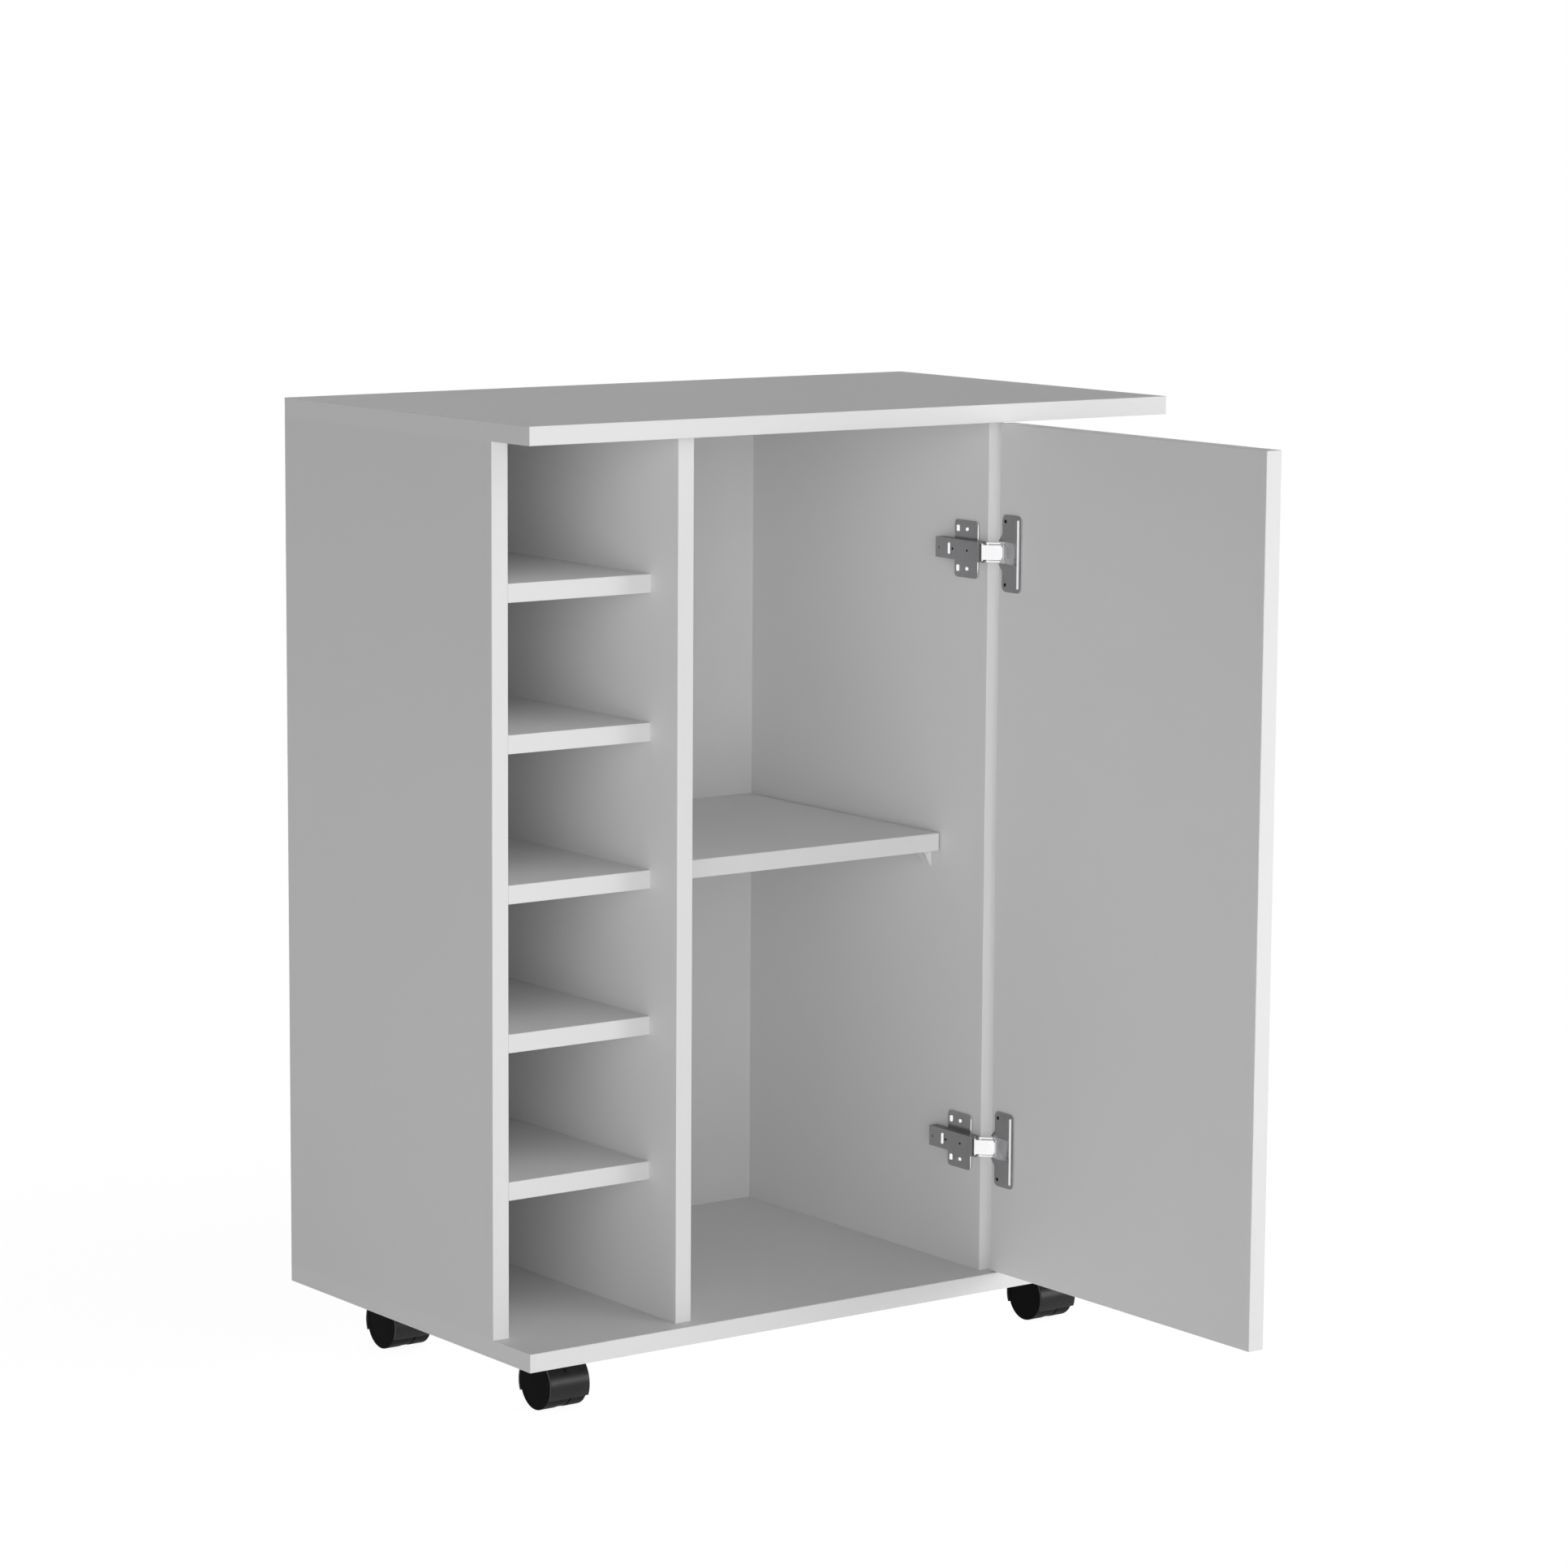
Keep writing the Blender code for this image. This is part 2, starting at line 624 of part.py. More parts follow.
def make_door_and_hinges(white, steel, chrome):
    link_axis = in_cabinet(arm_pin())
    door_axis = in_cabinet(cup_pin_open())
    link_pivot = pivot("hinge_link_pivot", link_axis)
    door_pivot = pivot("door_pivot", door_axis, link_pivot)
    plate, arm, link, cup = plate_mesh(), arm_mesh(), link_mesh(), cup_mesh()
    for name, height in HINGE_HEIGHTS.items():
        up = Vector((0.0, 0.0, height))
        corner = Vector((RIGHT_INNER, PANEL_FRONT, height))
        door_corner = Vector((DOOR_INNER_OPEN, DOOR_EDGE_OPEN, height))
        put(f"{name}_hinge_plate", plate, steel, corner, turn=SIDE_ON)
        put(f"{name}_hinge_arm", arm, steel, corner, turn=SIDE_ON)
        put(f"{name}_hinge_link", link, chrome, link_axis + up, link_pivot, SIDE_ON)
        put(f"{name}_hinge_cup", cup, steel, door_corner, door_pivot, SIDE_ON)
    board(
        "door_panel",
        (DOOR_INNER_OPEN, DOOR_EDGE_OPEN - DOOR_WIDTH, DOOR_BOTTOM),
        (DOOR_INNER_OPEN + DOOR_THICKNESS, DOOR_EDGE_OPEN, DOOR_TOP),
        white,
        door_pivot,
        cuts=[cup_bore(height) for height in HINGE_HEIGHTS.values()],
    )
    shut = cup_pin_closed() - arm_pin()
    ajar = cup_pin_open() - arm_pin()
    link_turn = math.degrees(math.atan2(ajar.y, ajar.x) - math.atan2(shut.y, shut.x))
    print("link axis", link_axis[:2], "door axis", door_axis[:2], "link turn", link_turn)


# Casters, drawn about the axle (across, front to back, up)


def hood_start():
    """Angle of the hood's lower edge above the axle, as seen from the side."""
    radius = WHEEL_RADIUS + HOOD_GAP + HOOD_WALL
    return math.asin((HOOD_CLEARANCE - WHEEL_RADIUS) / radius)


def side_view(loops, width):
    """A shape drawn from the side in (front to back, up), as wide as given along the axle."""
    upright = Matrix(((0, 0, 1, 0), (1, 0, 0, 0), (0, 1, 0, 0), (0, 0, 0, 1)))
    return turned(extruded(loops, -width / 2, width / 2), upright)


def tower_top():
    return CASTER_HEIGHT - CASTER_PLATE_THICKNESS - 3 * SEAT_GAP - WHEEL_RADIUS


def fork_mesh():
    """A hood over both wheels, on a middle web with the axle's bore and a tower for the kingpin."""
    inner = WHEEL_RADIUS + HOOD_GAP
    outer = inner + HOOD_WALL
    start = hood_start()
    end = math.pi - start
    hood_outline = arc((0.0, 0.0), outer, start, end, 26) + arc((0.0, 0.0), inner, end, start, 26)
    hood = side_view([hood_outline], 2 * WHEEL_WIDTH + FORK_THICKNESS + 2 * WHEEL_GAP)
    reach = inner + HOOD_WALL / 2
    back = CASTER_TRAIL + TOWER_LENGTH / 2
    front = CASTER_TRAIL - TOWER_LENGTH / 2
    web_start = start + HOOD_WALL / inner
    web_end = math.pi - web_start
    web = arc((0.0, 0.0), reach, web_start, math.acos(back / reach), 5)
    web += [(back, tower_top()), (front, tower_top())]
    web += arc((0.0, 0.0), reach, math.acos(front / reach), web_end, 10)
    web += arc((0.0, 0.0), FORK_RADIUS, web_end, web_start + math.tau, 12)
    kingpin_bore = rod(KINGPIN_RADIUS + SEAT_GAP, -KINGPIN_DEPTH - SEAT_GAP, KINGPIN_DEPTH, 20)
    upright = Matrix.Translation((0.0, CASTER_TRAIL, tower_top())) @ Matrix.Rotation(-math.pi / 2, 4, "Y")
    axle_bore = rod(AXLE_RADIUS + SEAT_GAP, -FORK_THICKNESS, FORK_THICKNESS, 20)
    return combined(
        side_view([web], FORK_THICKNESS),
        ("UNION", hood),
        ("DIFFERENCE", turned(kingpin_bore, upright)),
        ("DIFFERENCE", axle_bore),
    )


def wheel_mesh():
    """A solid wheel with softened rims, a plain outer face and a blind bore for the axle."""
    bore_depth = AXLE_SEAT + SEAT_GAP
    bore = AXLE_RADIUS + SEAT_GAP
    profile = [
        (bore_depth, 0.0),
        (bore_depth, bore),
        (0.0, bore),
        (0.0, WHEEL_RADIUS - WHEEL_ROUND),
        (WHEEL_ROUND, WHEEL_RADIUS),
        (WHEEL_WIDTH - WHEEL_ROUND, WHEEL_RADIUS),
        (WHEEL_WIDTH - WHEEL_ROUND * 0.3, WHEEL_RADIUS - WHEEL_ROUND * 0.3),
        (WHEEL_WIDTH, WHEEL_RADIUS - WHEEL_ROUND),
        (WHEEL_WIDTH, 0.0),
    ]
    return mesh_of(spun(profile, 24), "wheel", smooth=True)


def axle_mesh():
    half = FORK_THICKNESS / 2 + WHEEL_GAP + AXLE_SEAT
    return mesh_of(rod(AXLE_RADIUS, -half, half, 20), "axle", smooth=True)


def caster_plate_mesh():
    half = CASTER_PLATE / 2
    loops = [rounded_box((-half, -half), (half, half), CASTER_PLATE_CORNER)]
    loops.append(circle((0.0, 0.0), KINGPIN_RADIUS + SEAT_GAP, 20))
    offset = CASTER_SCREW_SPACING / 2
    for x in (-offset, offset):
        for y in (-offset, offset):
            loops.append(circle((x, y), CASTER_SCREW_RADIUS))
    return mesh_of(extruded(loops, -CASTER_PLATE_THICKNESS - SEAT_GAP, -SEAT_GAP), "plate", smooth=True)


def kingpin_mesh():
    """A pin from just under the bottom panel, through the plate, into the fork's tower."""
    low = tower_top() + WHEEL_RADIUS - CASTER_HEIGHT - KINGPIN_DEPTH
    upright = Matrix.Rotation(-math.pi / 2, 4, "Y")
    return mesh_of(turned(rod(KINGPIN_RADIUS, low, -SEAT_GAP, 20), upright), "kingpin", smooth=True)


def make_casters(plastic, tread, steel):
    fork, wheel, axle = fork_mesh(), wheel_mesh(), axle_mesh()
    plate, kingpin = caster_plate_mesh(), kingpin_mesh()
    wheel_face = FORK_THICKNESS / 2 + WHEEL_GAP
    about = Matrix.Rotation(math.pi, 4, "Z")
    ends = {"front": FRONT + CASTER_INSET_ENDS, "rear": REAR - CASTER_INSET_ENDS}
    sides = {"left": LEFT_OUTER + CASTER_INSET_LEFT, "right": RIGHT_END - CASTER_INSET_RIGHT}
    for end, y in ends.items():
        for side, x in sides.items():
            name = f"caster_{end}_{side}"
            under = Vector((x, y, UNDERSIDE))
            hub = Vector((x, y - CASTER_TRAIL, WHEEL_RADIUS))
            offset = Vector((wheel_face, 0.0, 0.0))
            put(f"{name}_plate", plate, steel, under)
            put(f"{name}_kingpin", kingpin, steel, under)
            swivel = pivot(f"{name}_swivel_pivot", (x, y, 0.0))
            put(f"{name}_fork", fork, plastic, hub, swivel)
            put(f"{name}_axle", axle, steel, hub, swivel)
            put(f"{name}_left_wheel", wheel, tread, hub - offset, swivel, about)
            put(f"{name}_right_wheel", wheel, tread, hub + offset, swivel)


def main():
    clear_scene()
    white = finish("white melamine board", (0.80, 0.80, 0.80), 0.55)
    hardboard = finish("white back board", (0.76, 0.76, 0.76), 0.65)
    peg_plastic = finish("white peg plastic", (0.82, 0.82, 0.81), 0.4)
    steel = finish("hinge steel", (0.42, 0.42, 0.43), 0.38, 1.0)
    chrome = finish("bright link plating", (0.86, 0.86, 0.87), 0.18, 1.0)
    caster_plastic = finish("black caster plastic", (0.022, 0.022, 0.024), 0.42)
    caster_tread = finish("black wheel plastic", (0.018, 0.018, 0.020), 0.5)
    make_carcass(white, hardboard)
    make_rack_shelves(white)
    make_loose_shelf(white)
    make_pegs(peg_plastic)
    make_end_bay(white)
    make_door_and_hinges(white, steel, chrome)
    make_casters(caster_plastic, caster_tread, steel)


main()
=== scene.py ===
# %% [markdown]
# # A white bar cabinet on casters
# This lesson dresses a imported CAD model. The CAD gives every piece its place and its motion,
# and Blender gives it eased edges, edge bands, plated metal and moulded plastic.
# We could model it all again from nothing, but then nothing would promise that the door still
# shuts. So each new piece is measured from the CAD node it stands for and rides on its body.

# %% Load the frame
import json
import math

import bmesh
import bpy
from mathutils import Matrix, Vector

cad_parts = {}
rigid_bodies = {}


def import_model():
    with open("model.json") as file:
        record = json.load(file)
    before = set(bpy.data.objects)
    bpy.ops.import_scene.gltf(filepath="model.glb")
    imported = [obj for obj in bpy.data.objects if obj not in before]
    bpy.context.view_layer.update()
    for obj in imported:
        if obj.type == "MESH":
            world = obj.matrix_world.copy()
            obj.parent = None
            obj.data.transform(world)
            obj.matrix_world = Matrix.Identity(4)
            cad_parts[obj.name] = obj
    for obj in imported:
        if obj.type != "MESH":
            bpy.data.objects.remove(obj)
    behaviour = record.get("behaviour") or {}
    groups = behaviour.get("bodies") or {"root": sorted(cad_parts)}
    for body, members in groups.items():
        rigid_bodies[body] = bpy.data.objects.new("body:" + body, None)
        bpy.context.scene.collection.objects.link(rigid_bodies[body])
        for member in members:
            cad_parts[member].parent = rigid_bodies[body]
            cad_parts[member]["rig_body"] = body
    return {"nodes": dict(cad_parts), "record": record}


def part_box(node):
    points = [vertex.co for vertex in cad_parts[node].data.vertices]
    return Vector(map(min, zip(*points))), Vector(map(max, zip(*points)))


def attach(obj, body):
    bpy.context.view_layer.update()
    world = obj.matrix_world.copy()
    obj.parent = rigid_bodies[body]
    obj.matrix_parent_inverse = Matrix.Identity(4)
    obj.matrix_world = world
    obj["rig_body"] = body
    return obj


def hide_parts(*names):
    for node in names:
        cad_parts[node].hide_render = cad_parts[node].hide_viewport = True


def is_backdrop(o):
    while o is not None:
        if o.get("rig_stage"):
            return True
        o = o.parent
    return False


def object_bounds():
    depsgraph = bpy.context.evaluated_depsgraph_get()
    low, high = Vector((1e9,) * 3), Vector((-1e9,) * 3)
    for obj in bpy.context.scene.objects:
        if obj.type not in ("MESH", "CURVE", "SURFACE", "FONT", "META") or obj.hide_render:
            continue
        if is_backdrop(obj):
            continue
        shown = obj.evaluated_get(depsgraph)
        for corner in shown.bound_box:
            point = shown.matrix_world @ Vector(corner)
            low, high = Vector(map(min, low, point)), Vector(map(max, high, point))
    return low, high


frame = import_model()
nodes = frame["nodes"]
cad_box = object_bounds()
slot_of = {part["node"]: part["material_slot"] for part in frame["record"]["subparts"]}

# %% [markdown]
# ## The camera
# The picture was taken from the front left, a little above the cabinet, with a long lens.
# A camera can be set by eye, but straight boards give a better way: the edges of the boards were
# measured in the picture and a pinhole camera was fitted to them. Three plain turns then place it:
# tip it up from looking down, roll it by a hair, and swing it round to the right.

# %% Camera
CAMERA_PLACE = (-2.42942, -3.2249, 1.08344)
CAMERA_SWING = math.radians(36.316)
CAMERA_DIP = math.radians(8.4333)
CAMERA_ROLL = math.radians(0.377)
SENSOR_WIDTH = 36.0
LENS = 115.8735
FAR_CLIP = 100.0

lens = bpy.data.cameras.new("photo_camera")
lens.sensor_width = SENSOR_WIDTH
lens.lens = LENS
lens.clip_end = FAR_CLIP
camera = bpy.data.objects.new("photo_camera", lens)
swing = Matrix.Rotation(-CAMERA_SWING, 4, "Z")
dip = Matrix.Rotation(math.pi / 2 - CAMERA_DIP, 4, "X")
roll = Matrix.Rotation(CAMERA_ROLL, 4, "Z")
camera.matrix_world = Matrix.Translation(CAMERA_PLACE) @ swing @ dip @ roll
bpy.context.scene.collection.objects.link(camera)
bpy.context.scene.camera = camera
looks = camera.matrix_world.to_3x3() @ Vector((0, 0, -1))
print("camera looks along", [round(v, 3) for v in looks])

# %% [markdown]
# ## Nodes in one line each
# A shader tree is a list of nodes and the wires between them. Wiring by hand takes three lines a
# node, so this helper makes a node, sets its options and fills its sockets. A socket takes either
# a plain value or the output of another node.

# %% Node helper
def add_node(tree, kind, inputs=None, **options):
    """Makes one shader node; inputs maps a socket to a value or to another node's output."""
    made = tree.nodes.new(kind)
    for option, value in options.items():
        setattr(made, option, value)
    for socket, value in (inputs or {}).items():
        if isinstance(value, bpy.types.NodeSocket):
            tree.links.new(value, made.inputs[socket])
        else:
            made.inputs[socket].default_value = value
    return made


def math_node(tree, operation, first, second):
    """One sum on two values, given as a number or a socket."""
    return add_node(tree, "ShaderNodeMath", {0: first, 1: second}, operation=operation).outputs[0]


print("node helpers ready")

# %% [markdown]
# ## The studio light
# Edges that face the front are nearly white in the picture, sides are mid grey and the top is
# darker still, so most of the light comes level from the front, like a row of tall softboxes.
# Area lamps could stand there, but near lamps leave bright patches. Here the world itself glows:
# each wall below is a soft patch of brightness in one direction, and a small narrowness spreads it.
# One patch stands behind the cabinet, so that its back looks white as well.
# What the camera and the mirrors see is a plain white room, by way of the Light Path node.

# %% World
ROOM_LIGHT = 0.01
LIGHT_WALLS = [  # degrees left of the front, degrees up, strength, narrowness
    (-60, 0, 2.5, 16),
    (-30, 35, 1.55, 6),
    (30, 0, 4.6, 16),
    (60, 0, 1.55, 16),
    (-150, 0, 3.6, 16),
    (0, 90, 0.09, 1),
]

world = bpy.data.worlds.new("soft_studio")
bpy.context.scene.world = world
world.use_nodes = True
sky = world.node_tree
sky.nodes.clear()
way = add_node(sky, "ShaderNodeTexCoord").outputs["Generated"]
level = ROOM_LIGHT
for leftward, upward, strength, narrowness in LIGHT_WALLS:
    aside, lift = math.radians(leftward), math.radians(upward)
    towards = (-math.sin(aside) * math.cos(lift), -math.cos(aside) * math.cos(lift), math.sin(lift))
    facing = add_node(sky, "ShaderNodeVectorMath", {0: way, 1: towards}, operation="DOT_PRODUCT")
    ahead = math_node(sky, "MAXIMUM", facing.outputs["Value"], 0.0)
    soft = math_node(sky, "POWER", ahead, narrowness)
    level = math_node(sky, "ADD", level, math_node(sky, "MULTIPLY", soft, strength))
light_room = add_node(sky, "ShaderNodeBackground", {"Strength": level})
white_room = add_node(sky, "ShaderNodeBackground", {"Color": (1, 1, 1, 1), "Strength": 1.0})


def seen_plainly(tree):
    """1 for rays that show the room itself: seen straight on, mirrored or through a clear piece."""
    path = add_node(tree, "ShaderNodeLightPath").outputs
    mirrored = math_node(tree, "MAXIMUM", path["Is Camera Ray"], path["Is Glossy Ray"])
    return math_node(tree, "MAXIMUM", mirrored, path["Is Transmission Ray"])


def mix_shaders(tree, share, first, second):
    """One shader between two others, given as sockets; share may be a number or a socket."""
    return add_node(tree, "ShaderNodeMixShader", {0: share, 1: first, 2: second}).outputs[0]


shown_room = mix_shaders(sky, seen_plainly(sky), light_room.outputs[0], white_room.outputs[0])
add_node(sky, "ShaderNodeOutputWorld", {"Surface": shown_room})
bpy.context.scene.view_settings.view_transform = "Standard"
print("light walls:", len(LIGHT_WALLS))

# %% [markdown]
# ## The floor
# The cabinet stands on a white sweep that melts into the background. A plain white floor would
# come out grey under this light, so most of what the camera sees of it is its own white, and the
# rest is an ordinary matt floor that still catches the shadow under the casters.
# A studio floor also throws light back up, which is why low edges are as bright as high ones. The
# level light hardly touches this floor, so it gets a faint bounce of its own.

# %% Floor
FLOOR_SIZE = 3.0
FLOOR_MATT = (0.9, 0.9, 0.9, 1.0)
FLOOR_GLOW = 1.2
FLOOR_SHADOW_SHARE = 0.22
FLOOR_BOUNCE = 0.3

floor_paint = bpy.data.materials.new("white_sweep")
floor_paint.use_nodes = True
paint = floor_paint.node_tree
paint.nodes.clear()
matt = add_node(paint, "ShaderNodeBsdfDiffuse", {"Color": FLOOR_MATT}).outputs[0]
glow = add_node(paint, "ShaderNodeEmission", {"Strength": FLOOR_GLOW}).outputs[0]
seen_floor = mix_shaders(paint, FLOOR_SHADOW_SHARE, glow, matt)
bounce = add_node(paint, "ShaderNodeEmission", {"Strength": FLOOR_BOUNCE}).outputs[0]
lit_floor = add_node(paint, "ShaderNodeAddShader", {0: matt, 1: bounce}).outputs[0]
floor_mix = mix_shaders(paint, seen_plainly(paint), lit_floor, seen_floor)
add_node(paint, "ShaderNodeOutputMaterial", {"Surface": floor_mix})

bm = bmesh.new()
bmesh.ops.create_grid(bm, x_segments=1, y_segments=1, size=FLOOR_SIZE / 2)
sweep_mesh = bpy.data.meshes.new("floor_sweep")
bm.to_mesh(sweep_mesh)
bm.free()
sweep_mesh.materials.append(floor_paint)
sweep = bpy.data.objects.new("floor_sweep", sweep_mesh)
bpy.context.scene.collection.objects.link(sweep)
sweep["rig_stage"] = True
print("floor:", FLOOR_SIZE, "m wide")

# %% [markdown]
# ## The key lamp
# The black hoods of the casters carry one soft bright band along their fronts, the mirror image of
# a lamp that stands low at the front right. The even world has nothing to mirror, so one wide area
# lamp stands there. It also lifts the front edges of the boards and the free edge of the door.

# %% Key lamp
LAMP_PLACE = Vector((2.3, -3.2, 0.55))
LAMP_AIM = Vector((0.0, 0.1, 0.45))
LAMP_WIDTH = 1.6
LAMP_HEIGHT = 0.9
LAMP_POWER = 23.0

glow_panel = bpy.data.lights.new("key_lamp", "AREA")
glow_panel.shape = "RECTANGLE"
glow_panel.size = LAMP_WIDTH
glow_panel.size_y = LAMP_HEIGHT
glow_panel.energy = LAMP_POWER
lamp = bpy.data.objects.new("key_lamp", glow_panel)
lamp.location = LAMP_PLACE
lamp.rotation_euler = (LAMP_AIM - LAMP_PLACE).to_track_quat("-Z", "Y").to_euler()
bpy.context.scene.collection.objects.link(lamp)
print("key lamp", LAMP_WIDTH, "by", LAMP_HEIGHT, "m")

# %% [markdown]
# ## Node groups
# An effect that several finishes share is built once, as a node group with named sockets, and
# placed in each of them with its own values. Copied nodes would do the same, but then a change
# has to be made in every copy. Each group here reads Object coordinates, so that its pattern
# stays on the piece when the door swings.

# %% Group helpers
NOISE_LOW = 0.3
NOISE_HIGH = 0.7


def effect_group(name, inputs, output):
    """An empty node group with float inputs and one float output."""
    tree = bpy.data.node_groups.new(name, "ShaderNodeTree")
    for label in inputs:
        tree.interface.new_socket(name=label, in_out="INPUT", socket_type="NodeSocketFloat")
    tree.interface.new_socket(name=output, in_out="OUTPUT", socket_type="NodeSocketFloat")
    values = tree.nodes.new("NodeGroupInput").outputs
    place = add_node(tree, "ShaderNodeTexCoord").outputs["Object"]
    return tree, values, place


def close_group(tree, output, value):
    """Wires a value to the group's one output."""
    end = tree.nodes.new("NodeGroupOutput")
    tree.links.new(value, end.inputs[output])
    return tree


def spread_noise(tree, noise):
    """Stretches the middle of a noise over the whole way from 0 to 1."""
    limits = {"Value": noise.outputs[0], "From Min": NOISE_LOW, "From Max": NOISE_HIGH}
    return add_node(tree, "ShaderNodeMapRange", limits).outputs[0]


print("group helpers ready")

# %% [markdown]
# ## Shared surface effects
# Four effects make up the surfaces: a slow drift of tone, the pearl grain of a pressed laminate,
# the fine lines that rolling leaves in sheet metal, and the dull spark-etched skin of moulded
# plastic. Pictures of such surfaces could be laid on, but noise has no seams and no edges.

# %% Effect groups
RIPPLE_SHARE = 0.31


def tone_drift_group():
    """Slow cloudy change between 0 and 1, for colour and for gloss."""
    tree, values, place = effect_group("tone_drift", ("Patches per metre",), "Share")
    look = {"Vector": place, "Scale": values[0], "Detail": 3.0, "Roughness": 0.55}
    cloud = add_node(tree, "ShaderNodeTexNoise", look)
    return close_group(tree, "Share", spread_noise(tree, cloud))


def pearl_grain_group():
    """Height of a pressed laminate: small rounded pits over a faint ripple."""
    tree, values, place = effect_group("pearl_grain", ("Pits per metre",), "Height")
    grid = {"Vector": place, "Scale": values[0]}
    pits = add_node(tree, "ShaderNodeTexVoronoi", grid, feature="SMOOTH_F1")
    ripple_scale = math_node(tree, "MULTIPLY", values[0], RIPPLE_SHARE)
    look = {"Vector": place, "Scale": ripple_scale, "Detail": 2.0}
    ripple = add_node(tree, "ShaderNodeTexNoise", look)
    height = math_node(tree, "ADD", pits.outputs["Distance"], ripple.outputs[0])
    return close_group(tree, "Height", height)


def rolled_lines_group():
    """Fine lines along the sheet, from noise that is stretched upright."""
    tree, values, place = effect_group("rolled_lines", ("Lines per metre", "Stretch"), "Share")
    across = add_node(tree, "ShaderNodeCombineXYZ", {"X": values[0], "Y": values[0]})
    along = math_node(tree, "DIVIDE", values[0], values[1])
    tree.links.new(along, across.inputs["Z"])
    factors = {0: place, 1: across.outputs[0]}
    stretched = add_node(tree, "ShaderNodeVectorMath", factors, operation="MULTIPLY").outputs[0]
    look = {"Vector": stretched, "Scale": 1.0, "Detail": 2.0}
    lines = add_node(tree, "ShaderNodeTexNoise", look)
    return close_group(tree, "Share", spread_noise(tree, lines))


def moulded_skin_group():
    """Height of an etched mould: a dense field of tiny bumps, finer and coarser together."""
    tree, values, place = effect_group("moulded_skin", ("Bumps per metre",), "Height")
    look = {"Vector": place, "Scale": values[0], "Detail": 4.0, "Roughness": 0.6}
    fine = add_node(tree, "ShaderNodeTexNoise", look)
    return close_group(tree, "Height", fine.outputs[0])


tone_drift = tone_drift_group()
pearl_grain = pearl_grain_group()
rolled_lines = rolled_lines_group()
moulded_skin = moulded_skin_group()
effects = (tone_drift, pearl_grain, rolled_lines, moulded_skin)
print("effects:", ", ".join(group.name for group in effects))

# %% [markdown]
# ## Material bench
# Every finish below starts the same way: a Principled shader, whose fixed values are set straight
# on its sockets, and wires only where something changes over the surface. These helpers keep each
# recipe down to the numbers that make it that finish.

# %% Material helpers
def new_finish(name, **fixed):
    """A material with one Principled shader; returns the material, its tree and the shader."""
    material = bpy.data.materials.new(name)
    material.use_nodes = True
    tree = material.node_tree
    tree.nodes.clear()
    sockets = {key.replace("_", " "): value for key, value in fixed.items()}
    shader = add_node(tree, "ShaderNodeBsdfPrincipled", sockets)
    add_node(tree, "ShaderNodeOutputMaterial", {"Surface": shader.outputs[0]})
    return material, tree, shader


def use_effect(tree, group, **values):
    """Places a shared effect and returns its one output."""
    node = add_node(tree, "ShaderNodeGroup", None, node_tree=group)
    for key, value in values.items():
        node.inputs[key.replace("_", " ")].default_value = value
    return node.outputs[0]


def blend_colour(tree, share, first, second):
    """A colour between two others; share may be a socket."""
    mix = add_node(tree, "ShaderNodeMix", {0: share}, data_type="RGBA")
    for socket, value in ((mix.inputs[6], first), (mix.inputs[7], second)):
        if isinstance(value, bpy.types.NodeSocket):
            tree.links.new(value, socket)
        else:
            socket.default_value = (*value, 1.0)
    return mix.outputs[2]


def blend_value(tree, share, first, second):
    """A number between two others; share, first and second may be sockets."""
    ends = {0: share, 2: first, 3: second}
    return add_node(tree, "ShaderNodeMix", ends, data_type="FLOAT").outputs[0]


def raise_surface(tree, shader, height, depth, strength):
    """Bumps the shader's normal by a height of this depth in metres."""
    relief = {"Height": height, "Distance": depth, "Strength": strength}
    bump = add_node(tree, "ShaderNodeBump", relief)
    tree.links.new(bump.outputs[0], shader.inputs["Normal"])


print("material helpers ready")

# %% [markdown]
# ## White board
# The boards are chipboard faced with white melamine paper, and their edges wear a glued plastic
# band that is a touch smoother and whiter than the faces. One material serves both: a face
# attribute named edge_band, written while the board is modelled, says where the band is.
# The face itself has a pearl grain less than a millimetre wide and a slow drift of tone.

# %% White board finish
FACE_WHITE = (0.780, 0.780, 0.784)
FACE_SHADE = (0.768, 0.768, 0.772)
BAND_WHITE = (0.786, 0.786, 0.788)
FACE_GLOSS = (0.64, 0.70)
BAND_GLOSS = 0.52

white_board, tree, shader = new_finish("white_melamine", Specular_IOR_Level=0.1)
drift = use_effect(tree, tone_drift, Patches_per_metre=5.0)
band = add_node(tree, "ShaderNodeAttribute", None, attribute_name="edge_band").outputs["Fac"]
face_tone = blend_colour(tree, drift, FACE_SHADE, FACE_WHITE)
tree.links.new(blend_colour(tree, band, face_tone, BAND_WHITE), shader.inputs["Base Color"])
face_gloss = blend_value(tree, drift, *FACE_GLOSS)
tree.links.new(blend_value(tree, band, face_gloss, BAND_GLOSS), shader.inputs["Roughness"])
pearl = use_effect(tree, pearl_grain, Pits_per_metre=1400.0)
raise_surface(tree, shader, pearl, depth=0.00005, strength=0.35)
print("finish:", white_board.name)

# %% [markdown]
# ## Back board
# The back is a thin hardboard with a painted white face. It has no band, and its paint keeps the
# fibrous grain of the board under it, so it uses the drift at a smaller scale and a coarser pearl.

# %% Back board finish
BACK_SHADE = (0.750, 0.750, 0.755)
BACK_WHITE = (0.772, 0.772, 0.776)
BACK_GLOSS = (0.60, 0.72)

